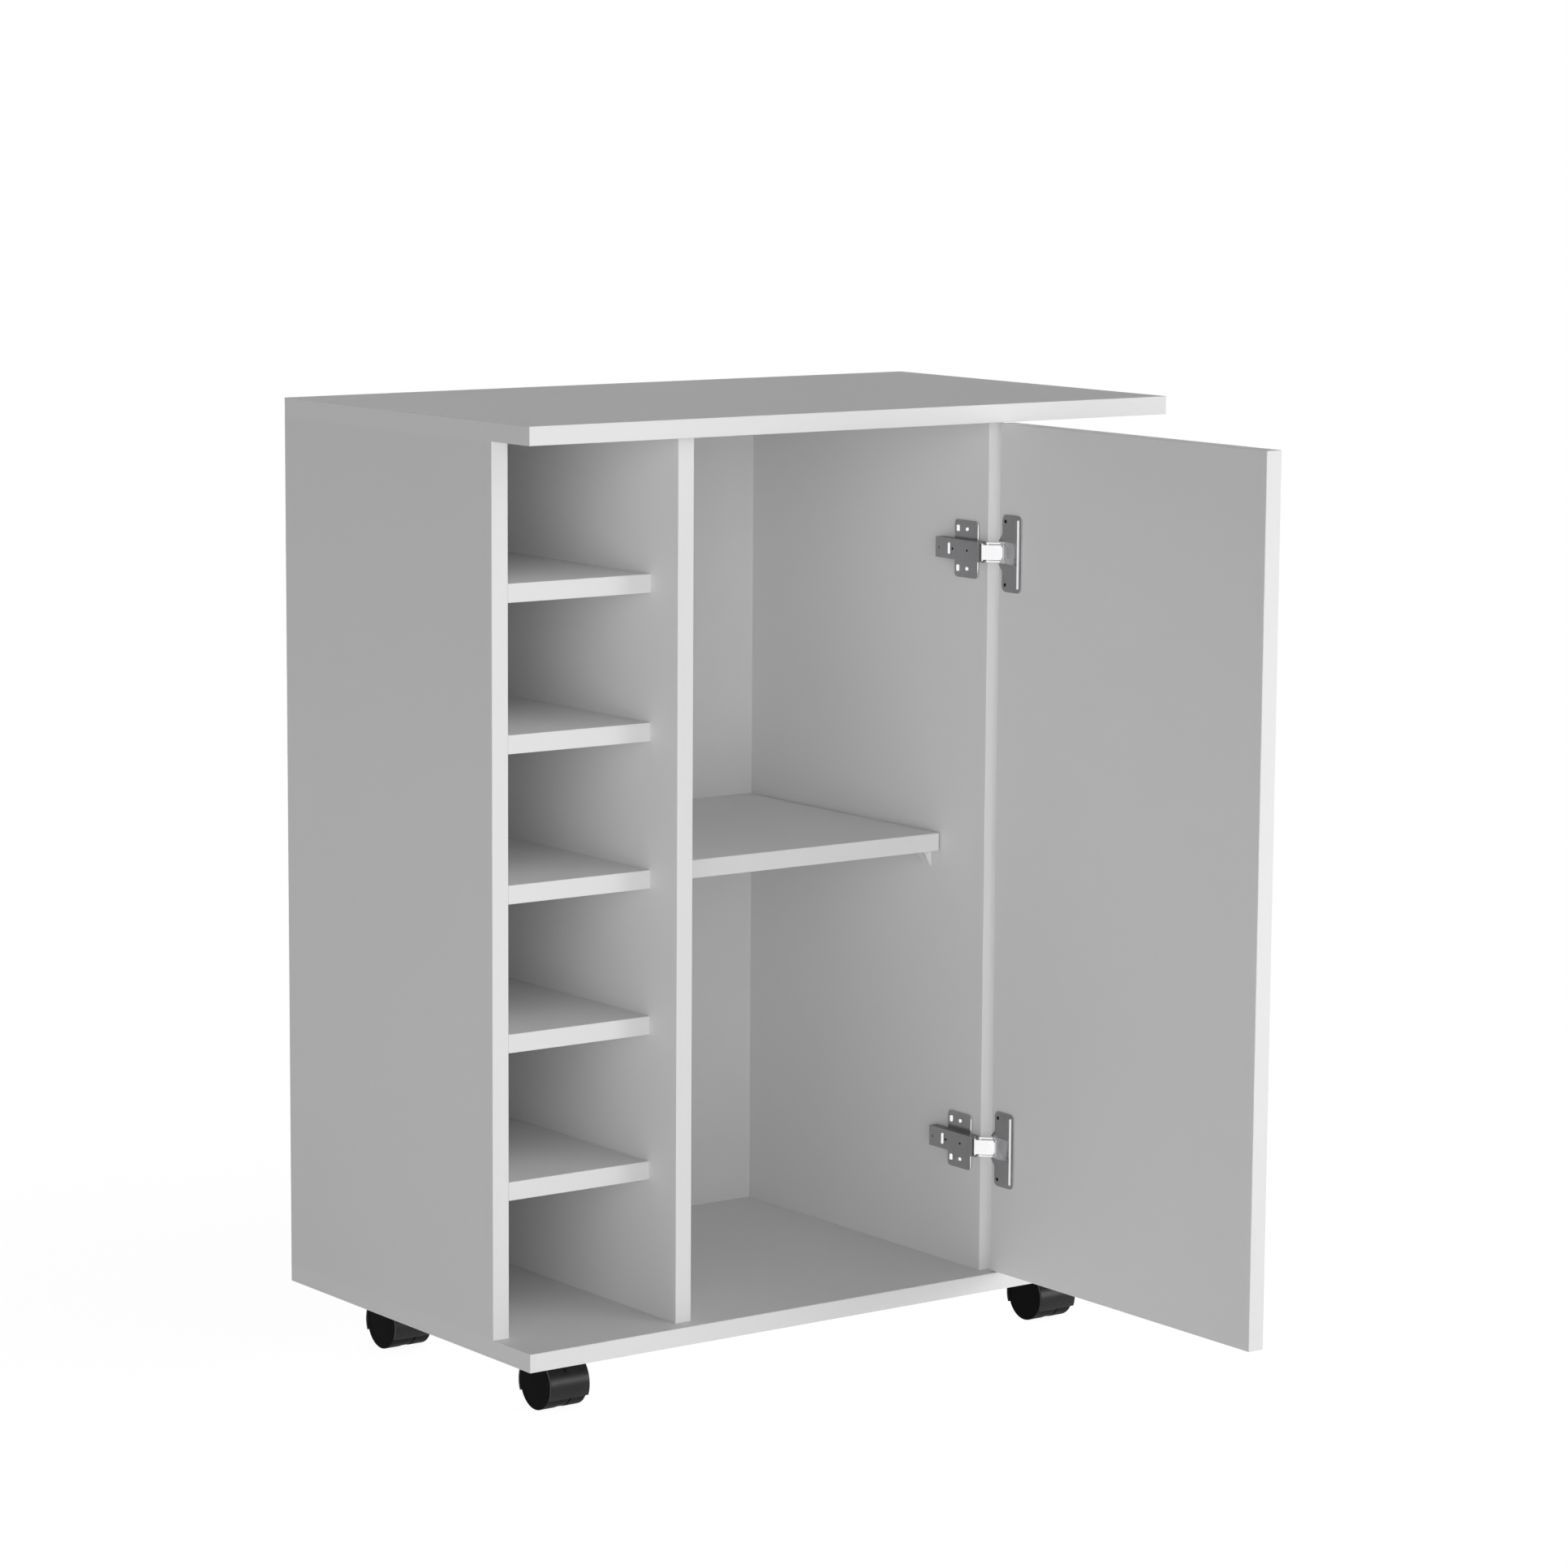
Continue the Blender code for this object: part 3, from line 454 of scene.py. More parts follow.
back_board, tree, shader = new_finish("white_hardboard", Specular_IOR_Level=0.08)
drift = use_effect(tree, tone_drift, Patches_per_metre=14.0)
back_tone = blend_colour(tree, drift, BACK_SHADE, BACK_WHITE)
tree.links.new(back_tone, shader.inputs["Base Color"])
tree.links.new(blend_value(tree, drift, *BACK_GLOSS), shader.inputs["Roughness"])
pearl = use_effect(tree, pearl_grain, Pits_per_metre=800.0)
raise_surface(tree, shader, pearl, depth=0.00008, strength=0.4)
print("finish:", back_board.name)

# %% [markdown]
# ## Plated metal
# The hinges are pressed from sheet steel and nickel plated, so they mirror the grey cabinet around
# them, while the link is polished brighter, and the same bright finish is a painted highlight on
# leaning edges. A metal is Metallic 1 with its colour in Base Color; what tells it from chrome
# paint is the faint rolling lines that pull its gloss about. The caster plates and pins are zinc
# plated, which is duller and cloudier. Three more finishes mark small spots on the hinges: a dark
# one as painted shade on the arms' flanks and noses, black discs as painted shade in holes, and the
# satin inside of a cup.

# %% Metal finishes
def plated(name, dark, light, smooth, rough, lines, depth):
    """Sheet metal with rolling lines in its tone, gloss and height."""
    material, tree, shader = new_finish(name, Metallic=1.0)
    streaks = use_effect(tree, rolled_lines, Lines_per_metre=lines, Stretch=30.0)
    drift = use_effect(tree, tone_drift, Patches_per_metre=90.0)
    tree.links.new(blend_colour(tree, streaks, dark, light), shader.inputs["Base Color"])
    gloss = math_node(tree, "MULTIPLY", math_node(tree, "ADD", streaks, drift), 0.5)
    tree.links.new(blend_value(tree, gloss, smooth, rough), shader.inputs["Roughness"])
    raise_surface(tree, shader, streaks, depth, strength=0.2)
    return material


hinge_steel = plated(
    "nickel_plate", dark=(0.70, 0.70, 0.71), light=(0.78, 0.78, 0.79),
    smooth=0.14, rough=0.26, lines=2500.0, depth=0.00001,
)
# The link's bright plate, also put on leaning hinge edges as a painted highlight.
link_chrome = plated(
    "bright_plate", dark=(0.90, 0.90, 0.91), light=(0.95, 0.95, 0.96),
    smooth=0.06, rough=0.12, lines=1800.0, depth=0.000005,
)
caster_steel = plated(
    "zinc_plate", dark=(0.48, 0.48, 0.49), light=(0.60, 0.60, 0.60),
    smooth=0.30, rough=0.48, lines=1500.0, depth=0.00001,
)
# A dark finish for the arms' flanks and noses: painted shade where shadow falls on them.
flank_shade_steel = plated(
    "painted_shade_flank", dark=(0.15, 0.15, 0.15), light=(0.20, 0.20, 0.20),
    smooth=0.30, rough=0.44, lines=2500.0, depth=0.00001,
)
# Black discs at the bottom of holes: painted shade.
shade_disc_steel = plated(
    "painted_shade_disc", dark=(0.010, 0.010, 0.010), light=(0.016, 0.016, 0.016),
    smooth=0.50, rough=0.60, lines=1500.0, depth=0.00001,
)
cup_satin = plated(
    "satin_plate", dark=(0.70, 0.70, 0.71), light=(0.76, 0.76, 0.77),
    smooth=0.60, rough=0.70, lines=1500.0, depth=0.00001,
)
metals = (hinge_steel, link_chrome, caster_steel, flank_shade_steel, shade_disc_steel, cup_satin)
print("finishes:", ", ".join(finish.name for finish in metals))

# %% [markdown]
# ## Moulded plastic
# The hoods and wheels are black moulded plastic, and the shelf pegs are the same sort of thing in
# white. Black plastic is easy to make too grey: its colour is near zero, and most of what we see
# is the sheen, so the specular level sets how black it looks. The wheels are duller than the hoods,
# and their treads are painted a little greyer than their sides, as painted light for the light the
# treads catch, told apart by a face attribute named tread.

# %% Plastic finishes
def moulded(name, dark, light, smooth, rough, sheen, bumps, depth, tread=None):
    """Moulded plastic: a faint drift of tone and gloss over an etched skin, and perhaps a tread
    painted greyer as painted light.
    """
    material, tree, shader = new_finish(name, Specular_IOR_Level=sheen)
    drift = use_effect(tree, tone_drift, Patches_per_metre=60.0)
    tone = blend_colour(tree, drift, dark, light)
    if tread:
        on_tread = add_node(tree, "ShaderNodeAttribute", None, attribute_name="tread")
        tone = blend_colour(tree, on_tread.outputs["Fac"], tone, tread)
    tree.links.new(tone, shader.inputs["Base Color"])
    tree.links.new(blend_value(tree, drift, smooth, rough), shader.inputs["Roughness"])
    skin = use_effect(tree, moulded_skin, Bumps_per_metre=bumps)
    raise_surface(tree, shader, skin, depth, strength=0.3)
    return material


caster_plastic = moulded(
    "black_hood", dark=(0.005, 0.005, 0.006), light=(0.008, 0.008, 0.009),
    smooth=0.26, rough=0.32, sheen=0.30, bumps=3500.0, depth=0.00001,
)
# The greyer tread colour is painted light on the treads.
wheel_plastic = moulded(
    "black_wheel", dark=(0.002, 0.002, 0.0025), light=(0.003, 0.003, 0.0035),
    smooth=0.42, rough=0.50, sheen=0.02, bumps=3000.0, depth=0.00002, tread=(0.020, 0.020, 0.021),
)
peg_plastic = moulded(
    "white_peg", dark=(0.76, 0.76, 0.755), light=(0.79, 0.79, 0.785),
    smooth=0.32, rough=0.40, sheen=0.5, bumps=3000.0, depth=0.00002,
)
print("finishes:", caster_plastic.name, wheel_plastic.name, peg_plastic.name)

# %% [markdown]
# ## From mesh to piece
# Each piece ends the same way: its bmesh becomes an object at the origin, takes its finish from
# the node it stands for, hides that node and rides on the node's body. Smooth shading with a
# weighted normal keeps the broad faces flat while the tiny rounded edges stay round.

# %% Piece helper
FINISHES = {
    "white_board": white_board,
    "back_board": back_board,
    "peg_plastic": peg_plastic,
    "hinge_steel": hinge_steel,
    "link_chrome": link_chrome,
    "caster_plastic": caster_plastic,
    "wheel_plastic": wheel_plastic,
    "caster_steel": caster_steel,
}
SHARP = math.radians(40)


def show(name, bm, node, extra=()):
    """Makes a shown piece of a bmesh, finished like a CAD node and riding with it."""
    mesh = bpy.data.meshes.new(name)
    bm.to_mesh(mesh)
    bm.free()
    for finish in (FINISHES[slot_of[node]], *extra):
        mesh.materials.append(finish)
    mesh.shade_smooth()
    mesh.set_sharp_from_angle(angle=SHARP)
    piece = bpy.data.objects.new(name, mesh)
    bpy.context.scene.collection.objects.link(piece)
    even = piece.modifiers.new("even_normals", "WEIGHTED_NORMAL")
    even.keep_sharp = True
    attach(piece, nodes[node]["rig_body"])
    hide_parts(node)
    return piece


for node, piece in nodes.items():
    piece.data.materials.clear()
    piece.data.materials.append(FINISHES[slot_of[node]])
print("finishes on", len(nodes), "nodes")

# %% [markdown]
# ## Boards
# A flat-pack board is a slab with crisp, slightly eased edges. A cube scaled to the slab would do
# from afar, but its knife edges catch no light. Here the cube is cut to size, its free edges get a
# half-millimetre round, and each broad face is inset by the thickness of the band, which leaves a
# narrow rim to mark as edge_band. Ends that butt against another board stay square and run the
# CAD's assembly gap out, so that a glued joint shows no slit.

# %% Board helper
EASE = 0.0005
BAND = 0.0006
BUTT = 0.00028
AXES = "xyz"
SQUARE_ON = 0.999  # least part of a normal along an axis it faces squarely


def round_edges(bm, edges, ease, steps, clamp=True):
    """Rounds edges by a bevel; clamp keeps neighbouring rounds from crossing."""
    bmesh.ops.bevel(
        bm, geom=edges, offset=ease, offset_type="OFFSET", segments=steps, profile=0.5,
        affect="EDGES", clamp_overlap=clamp, material=-1,
    )


def board_bmesh(low, high, eased, square):
    """A slab between two corners, rounded along the named axes but not at the square spots."""
    size = high - low
    bm = bmesh.new()
    bmesh.ops.create_cube(bm, size=1.0)
    bmesh.ops.scale(bm, vec=size, verts=bm.verts[:])
    bmesh.ops.translate(bm, vec=(low + high) / 2, verts=bm.verts[:])
    rounds = []
    for edge in bm.edges:
        run = edge.verts[1].co - edge.verts[0].co
        middle = (edge.verts[0].co + edge.verts[1].co) / 2
        kept = any((middle - spot).length < EASE for spot in square)
        if AXES[max(range(3), key=lambda i: abs(run[i]))] in eased and not kept:
            rounds.append(edge)
    round_edges(bm, rounds, EASE, steps=3, clamp=False)
    thin = min(range(3), key=lambda i: size[i])
    band = bm.faces.layers.float.new("edge_band")
    broad = [face for face in bm.faces if abs(face.normal[thin]) > SQUARE_ON]
    for face in bm.faces:
        face[band] = 1.0
    for face in broad:
        face[band] = 0.0
    rim = bmesh.ops.inset_individual(bm, faces=broad, thickness=BAND, use_even_offset=True)
    for face in rim["faces"]:
        face[band] = 1.0
    return bm


print("board helper ready: rounds of", EASE * 1000, "mm")

# %% [markdown]
# ## Holes in boards
# The loose shelf's pegs sit in drilled holes, and each hinge cup sits in a round pocket in the
# door. Cutting a hole into a big face by hand means rebuilding the face around it, so a Boolean
# does it: cutters are cones with equal ends, and the result is read back as a plain mesh.

# %% Drill helper
DRILL_SIDES = 48


def drilled(bm, holes):
    """Takes round holes out of a bmesh; a hole is (middle, radius, length), bored along X."""
    board_mesh = bpy.data.meshes.new("blank")
    bm.to_mesh(board_mesh)
    bm.free()
    cutter_bm = bmesh.new()
    for middle, radius, length in holes:
        place = Matrix.Translation(middle) @ Matrix.Rotation(math.pi / 2, 4, "Y")
        bmesh.ops.create_cone(
            cutter_bm, cap_ends=True, segments=DRILL_SIDES, radius1=radius, radius2=radius,
            depth=length, matrix=place,
        )
    cutter_mesh = bpy.data.meshes.new("drill")
    cutter_bm.to_mesh(cutter_mesh)
    cutter_bm.free()
    blank = bpy.data.objects.new("blank", board_mesh)
    drill = bpy.data.objects.new("drill", cutter_mesh)
    for thing in (blank, drill):
        bpy.context.scene.collection.objects.link(thing)
    cut = blank.modifiers.new("holes", "BOOLEAN")
    cut.object = drill
    cut.operation = "DIFFERENCE"
    cut.solver = "EXACT"
    whole = blank.evaluated_get(bpy.context.evaluated_depsgraph_get())
    result = bmesh.new()
    result.from_mesh(whole.to_mesh())
    whole.to_mesh_clear()
    for thing, mesh in ((blank, board_mesh), (drill, cutter_mesh)):
        bpy.data.objects.remove(thing)
        bpy.data.meshes.remove(mesh)
    return result


print("drill helper ready:", DRILL_SIDES, "sides")

# %% [markdown]
# ## Where the holes go
# A hole takes its place from the piece that sits in it: peg holes from the boxes of the pegs, and
# door pockets from the boxes of the hinge cups. Places could be typed in, but then a peg that
# moves in the CAD would miss its hole. A drill has its middle on the face of the board, so it is
# twice as long as the hole is deep.

# %% Hole list
HINGES = ("upper", "lower")
PEG_HOLE_RADIUS = 0.0028
PEG_HOLE_DROP = 0.005
PEG_HOLE_DEPTH = 0.0083
CUP_POCKET_RADIUS = 0.0139
CUP_POCKET_DEPTH = 0.0108
CUP_FROM_EDGE = 0.0159


def peg_holes(face, side):
    """Holes for the pegs at one side of the loose shelf, bored from this face of a board."""
    holes = []
    for end in ("front", "rear"):
        low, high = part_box(f"shelf_peg_{end}_{side}")
        middle = Vector((face, (low.y + high.y) / 2, high.z - PEG_HOLE_DROP))
        holes.append((middle, PEG_HOLE_RADIUS, 2 * PEG_HOLE_DEPTH))
    return holes


def cup_pockets():
    """Pockets for the two cups in the door's inner face."""
    low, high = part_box("door_panel")
    holes = []
    for hinge in HINGES:
        cup_low, cup_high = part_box(f"{hinge}_hinge_cup")
        middle = Vector((low.x, high.y - CUP_FROM_EDGE, (cup_low.z + cup_high.z) / 2))
        holes.append((middle, CUP_POCKET_RADIUS, 2 * CUP_POCKET_DEPTH))
    return holes


HOLES = {
    "divider_panel": peg_holes(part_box("divider_panel")[1].x, "left"),
    "right_side_panel": peg_holes(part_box("right_side_panel")[0].x, "right"),
    "door_panel": cup_pockets(),
}
print("boards with holes:", len(HOLES))

# %% [markdown]
# ## Cutting list
# Uprights butt against the top and bottom, so they grow along Z and only their upright edges are
# eased; the cubby shelves do the same along X. The top, the bottom, the loose shelf and the door
# show all their edges, and the loose shelf has a little play between its sides. One table holds
# what differs from board to board, and one loop cuts them all.

# %% Boards and door
SHELF_PLAY = 0.0008
CUTTING_LIST = {  # axes the board grows along, axes its eased edges run along
    "top_panel": ("", "xyz"),
    "bottom_panel": ("", "xyz"),
    "left_side_panel": ("z", "z"),
    "divider_panel": ("z", "z"),
    "right_side_panel": ("z", "z"),
    "back_panel": ("xz", ""),
    "middle_shelf": ("", "xyz"),
    "end_bay_upright": ("z", "z"),
    "end_bay_shelf": ("", "x"),
    "door_panel": ("", "xyz"),
}
for number in range(1, 6):
    CUTTING_LIST[f"rack_shelf_{number}"] = ("x", "x")


def flush_edges(node, low, high):
    """Middle of the edge, if any, that lies flush with the left side board and shows no joint."""
    if node == "top_panel":
        return [Vector((low.x, (low.y + high.y) / 2, low.z))]
    if node == "bottom_panel":
        return [Vector((low.x, (low.y + high.y) / 2, high.z))]
    return []


for node, (grown, eased) in CUTTING_LIST.items():
    low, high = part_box(node)
    butt = Vector([BUTT if axis in grown else 0.0 for axis in AXES])
    if node == "middle_shelf":
        butt.x = -SHELF_PLAY
    blank_bm = board_bmesh(low - butt, high + butt, eased, flush_edges(node, low, high))
    if node in HOLES:
        blank_bm = drilled(blank_bm, HOLES[node])
    show("shown_" + node, blank_bm, node)
print("boards:", len(CUTTING_LIST))

# %% [markdown]
# ## Pressed and moulded copies
# Hinge plates, arms, links, cups, pegs, hoods and caster plates have the right shape in the CAD
# but razor edges. Rather than draw them again, we copy the node's triangles, weld them, dissolve
# the flat ones into whole faces and bevel every edge that turns sharply. A shelf peg also gets
# hollow sides, as moulded wedges have, made by one inset that pushes the face in.

# %% Softened copies
WELD = 1e-6
FLAT = math.radians(0.6)
TURNS = math.radians(32)


def plain_copy(node):
    """A welded copy of a CAD node, with its triangles merged into whole faces."""
    bm = bmesh.new()
    bm.from_mesh(nodes[node].data)
    bmesh.ops.remove_doubles(bm, verts=bm.verts[:], dist=WELD)
    bmesh.ops.dissolve_limit(bm, angle_limit=FLAT, verts=bm.verts[:], edges=bm.edges[:])
    return bm


def soften(bm, ease, steps):
    """Rounds every edge that turns sharply."""
    sharp = [e for e in bm.edges if e.is_manifold and e.calc_face_angle() > TURNS]
    round_edges(bm, sharp, ease, steps)
    return bm


CASTER_PLATE_EASE = 0.0003
PEG_EASE = 0.0004
PEG_RIM = 0.0016
PEG_RECESS = 0.0025


def peg_bmesh(node):
    """A moulded wedge whose sides are hollowed, which leaves a slanted rib below."""
    bm = plain_copy(node)
    sides = [face for face in bm.faces if abs(face.normal.y) > SQUARE_ON]
    for side in sides:
        bmesh.ops.inset_region(
            bm, faces=[side], thickness=PEG_RIM, depth=-PEG_RECESS, use_even_offset=True
        )
    return soften(bm, PEG_EASE, steps=3)


softened = []
for node in nodes:
    if node.endswith(("_left_plate", "_right_plate")):
        plate = soften(plain_copy(node), CASTER_PLATE_EASE, steps=2)
        softened.append(show("shown_" + node, plate, node))
    if node.startswith("shelf_peg"):
        softened.append(show("shown_" + node, peg_bmesh(node), node))
print("softened copies:", len(softened))

# %% [markdown]
# ## Caster forks
# The fork is a hood over both wheels with a web between them. The CAD's web stops short of the
# treads, so its rim is drawn out almost to the floor to close the gap between the wheels, and a
# short rib runs up the middle of the hood towards the pin.

# %% Forks
WEB_RADIUS = 0.0195
WEB_SHOWN = 0.0204
WEB_MATCH = 0.00002
HOOD_RADIUS = 0.0237
FORK_EASE = 0.0003
RIDGE_SIZE = (0.0062, 0.0024, 0.0104)
RIDGE_RISE = 0.0009
RIDGE_TILT = math.radians(43)
WEB_FINISH = 1  # place in a fork's list of finishes


def fork_bmesh(node):
    """A fork with its web drawn out and a rib on the front of its hood."""
    bm = plain_copy(node)
    low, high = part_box(node.removesuffix("_fork") + "_axle")
    hub = (low + high) / 2
    for vert in bm.verts:
        spoke = Vector((0.0, vert.co.y - hub.y, vert.co.z - hub.z))
        if abs(spoke.length - WEB_RADIUS) < WEB_MATCH:
            vert.co += spoke * (WEB_SHOWN / WEB_RADIUS - 1.0)
    out = HOOD_RADIUS + RIDGE_RISE - RIDGE_SIZE[1] / 2
    tilt = Matrix.Rotation(-RIDGE_TILT, 4, "X")
    place = Matrix.Translation(hub) @ tilt @ Matrix.Translation((0.0, -out, 0.0))
    bmesh.ops.create_cube(bm, size=1.0, matrix=place @ Matrix.Diagonal((*RIDGE_SIZE, 1.0)))
    soften(bm, FORK_EASE, steps=2)
    tread = bm.faces.layers.float.new("tread")
    for face in bm.faces:
        spot = face.calc_center_median() - hub
        # The web's rim takes the wheel finish and the tread's grey, the same painted light.
        if WEB_RADIUS < math.hypot(spot.y, spot.z) < WEB_SHOWN + WEB_MATCH and spot.z < 0.0:
            face.material_index = WEB_FINISH
            face[tread] = 1.0
    return bm


forks = []
for node in nodes:
    if node.endswith("_fork"):
        forks.append(show("shown_" + node, fork_bmesh(node), node, (wheel_plastic,)))
print("forks:", len(forks))

# %% [markdown]
# ## Pressed holes and edges of the hinges
# Up close the hinges show bright lines: the front edges of the plates and the far walls of their
# slots catch the white room. A square wall would mirror the grey cabinet instead, so these edges
# lean, as punched sheet does. Moving the lower rim of a hole towards its middle makes the lean.
# Leaning faces get the polished finish as a painted highlight, and a black disc of painted shade
# lies at the bottom of each small hole.

# %% Hinge helpers
PIT_DEPTH = 0.0006
PIT_SIDES = 24
LEANING = 0.3
# Of these finishes, the polished one is a painted highlight on leaning faces, and the two dark ones
# are painted shade on flanks, noses and in holes.
POLISHED_HIGHLIGHT, FLANK_SHADE, SHADE_DISC = 1, 2, 3  # places in an arm's list of finishes
side_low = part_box("right_side_panel")[0]


def hinge_spot(hinge, back, up, out):
    """A point by a hinge: back from the side board's front edge, up, and out of its inner face."""
    low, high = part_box(f"{hinge}_hinge_plate")
    return Vector((side_low.x - out, side_low.y + back, (low.z + high.z) / 2 + up))


def lean_far_wall(bm, middle, half_length, half_height, lean):
    """Draws the inner rim of one hole forward, so that its far wall slopes."""
    for vert in bm.verts:
        away = vert.co - middle
        inside = abs(away.y) < half_length + WELD and abs(away.z) < half_height + WELD
        if abs(away.x) < WELD and inside and away.y > 0.0:
            vert.co.y = middle.y + away.y * (1.0 - lean / half_length)


def highlight_leaning(bm):
    """Gives the polished finish, a painted highlight, to faces that lean between the side and the
    front.
    """
    bm.normal_update()
    for face in bm.faces:
        # Leaning faces get the bright finish as a painted highlight, on top of the white room they
        # mirror.
        if face.normal.x < -LEANING and face.normal.y < -LEANING:
            face.material_index = POLISHED_HIGHLIGHT


def add_shade_disc(bm, middle, radius, finish):
    """A thin disc that faces along X, with the finish of this number; here it paints the shade at
    the bottom of a hole.
    """
    known = set(bm.faces)
    place = Matrix.Translation(middle) @ Matrix.Rotation(math.pi / 2, 4, "Y")
    bmesh.ops.create_cone(
        bm, cap_ends=True, segments=PIT_SIDES, radius1=radius, radius2=radius,
        depth=PIT_DEPTH, matrix=place,
    )
    for face in set(bm.faces) - known:
        face.material_index = finish


print("hinge helpers ready")

# %% [markdown]
# ## Plates and arms
# Each hinge has a mounting plate on the side board and a folded arm over it. Both are copies of
# their CAD nodes. One wide bevel gives the plate its slanted front edge. The arm has soft edges,
# and its cut nose and its flanks get a dark finish as painted shade, because shadow falls on them.

# %% Hinge plates and arms
PLATE_SEAT = 0.0003
PLATE_FRONT = 0.0107
PLATE_LEAN = 0.00195
PLATE_SLANT = 0.0014
PLATE_OPENINGS = (  # back, up, half length, half height
    (0.025, 0.0165, 0.002, 0.002),
    (0.037, 0.0165, 0.002, 0.0028),
)
ARM_INNER = 0.0093
ARM_LEAN = 0.0017
ARM_OPENING = (0.0378, 0.0, 0.0022, 0.0047)  # back, up, half length, half height
ARM_PITS = (0.0147, 0.0339)
PIT_RADIUS = 0.0016
PIT_SINK = 0.00015
HINGE_EASE = 0.0002
NOSE_LENGTH = 0.0014
FLANK_FACING = 0.7


def plate_bmesh(hinge):
    """A mounting plate with leaning hole walls and a slanted front edge."""
    bm = plain_copy(f"{hinge}_hinge_plate")
    for back, up, half_length, half_height in PLATE_OPENINGS:
        for side in (-1, 1):
            middle = hinge_spot(hinge, back, side * up, PLATE_SEAT)
            lean_far_wall(bm, middle, half_length, half_height, PLATE_LEAN)
    slanted = []
    for edge in bm.edges:
        at_front = all(abs(v.co.y - side_low.y - PLATE_FRONT) < WELD for v in edge.verts)
        outer = all(v.co.x < side_low.x - PLATE_SLANT for v in edge.verts)
        upright = abs(edge.verts[0].co.z - edge.verts[1].co.z) > 2 * PLATE_SLANT
        if at_front and outer and upright:
            slanted.append(edge)
    round_edges(bm, slanted, PLATE_SLANT, steps=1)
    highlight_leaning(bm)
    return bm


def arm_bmesh(hinge):
    """An arm with a leaning slot wall, flanks and nose darkened as painted shade, and black discs
    of painted shade in its holes.
    """
    bm = plain_copy(f"{hinge}_hinge_arm")
    back, up, half_length, half_height = ARM_OPENING
    lean_far_wall(bm, hinge_spot(hinge, back, up, ARM_INNER), half_length, half_height, ARM_LEAN)
    soften(bm, HINGE_EASE, steps=2)
    highlight_leaning(bm)
    # The flanks and the cut nose take the dark finish, which is painted shade.
    for face in bm.faces:
        at_nose = face.calc_center_median().y < side_low.y + NOSE_LENGTH
        if (at_nose and face.normal.y < -LEANING) or abs(face.normal.z) > FLANK_FACING:
            face.material_index = FLANK_SHADE
    # A black disc in each of the arm's holes is painted shade.
    for back in ARM_PITS:
        add_shade_disc(bm, hinge_spot(hinge, back, 0.0, ARM_INNER - PIT_SINK), PIT_RADIUS, SHADE_DISC)
    return bm


for hinge in HINGES:
    plate, arm = f"{hinge}_hinge_plate", f"{hinge}_hinge_arm"
    show("shown_" + plate, plate_bmesh(hinge), plate, (link_chrome,))
    show("shown_" + arm, arm_bmesh(hinge), arm, (link_chrome, flank_shade_steel, shade_disc_steel))
print("hinge plates and arms:", 2 * len(HINGES))

# %% [markdown]
# ## Ribs and cuts
# A cup's flange carries one raised rib along its far side. The CAD has a low rib; a sharper one
# is laid over it here, because its slope is what catches the light. It starts as a triangle, is
# drawn out to its length, and a bevel rounds its ridge. The other helper cuts faces along a plane,
# so that a finish can change at a straight line.

# %% Cup helpers
RIB_FROM_EDGE = 0.0261
RIB_HALF = 0.0014
RIB_FOOT = 0.0014
RIB_TOP = 0.0029
RIB_LENGTH = 0.056
RIB_EASE = 0.00035


def add_rib(bm, middle):
    """A rib along the flange: a triangle drawn out upwards, with a rounded ridge."""
    known = set(bm.faces)
    foot = middle + Vector((0.0, -RIB_FROM_EDGE, -RIB_LENGTH / 2))
    section = ((RIB_FOOT, RIB_HALF), (RIB_TOP, 0.0), (RIB_FOOT, -RIB_HALF))
    ring = [bm.verts.new(foot + Vector((-rise, across, 0.0))) for rise, across in section]
    drawn = bmesh.ops.extrude_face_region(bm, geom=[bm.faces.new(ring)])["geom"]
    far_ring = [item for item in drawn if isinstance(item, bmesh.types.BMVert)]
    bmesh.ops.translate(bm, vec=(0.0, 0.0, RIB_LENGTH), verts=far_ring)
    walls = [face for face in bm.faces if face not in known]
    bmesh.ops.recalc_face_normals(bm, faces=walls)
    ridge = [edge for edge in ring[1].link_edges if edge.other_vert(ring[1]) in far_ring]
    round_edges(bm, ridge, RIB_EASE, steps=3, clamp=False)


def split_at(bm, spot, way):
    """Cuts every face that a plane passes through."""
    everything = bm.verts[:] + bm.edges[:] + bm.faces[:]
    bmesh.ops.bisect_plane(bm, geom=everything, plane_co=spot, plane_no=way)


print("cup helpers ready")

# %% [markdown]
# ## Cups
# The cup is a pressed bowl that sits in the door's pocket. The bowl under the mouth gets a
# shallower floor, cut in two by a plane: the near part has a satin finish that glows softly in its
# own shade, and the far part stays nickel. Lamps in the bowl could do that too, but they would
# light the door as well. The screw holes hold black discs of painted shade.

# %% Hinge cups
BOWL_RADIUS = 0.0131
BOWL_FLOOR = 0.0097
BOWL_SHOWN = 0.005
SATIN_FROM_EDGE = 0.0126
SCREW_FROM_EDGE = 0.0096
SCREW_SPACING = 0.052
SCREW_PIT = 0.0018
BACKWARD = 0.5
# The second finish is a black disc of painted shade in each screw hole.
SATIN, HOLE_SHADE_DISC = 1, 2  # places in a cup's list of finishes


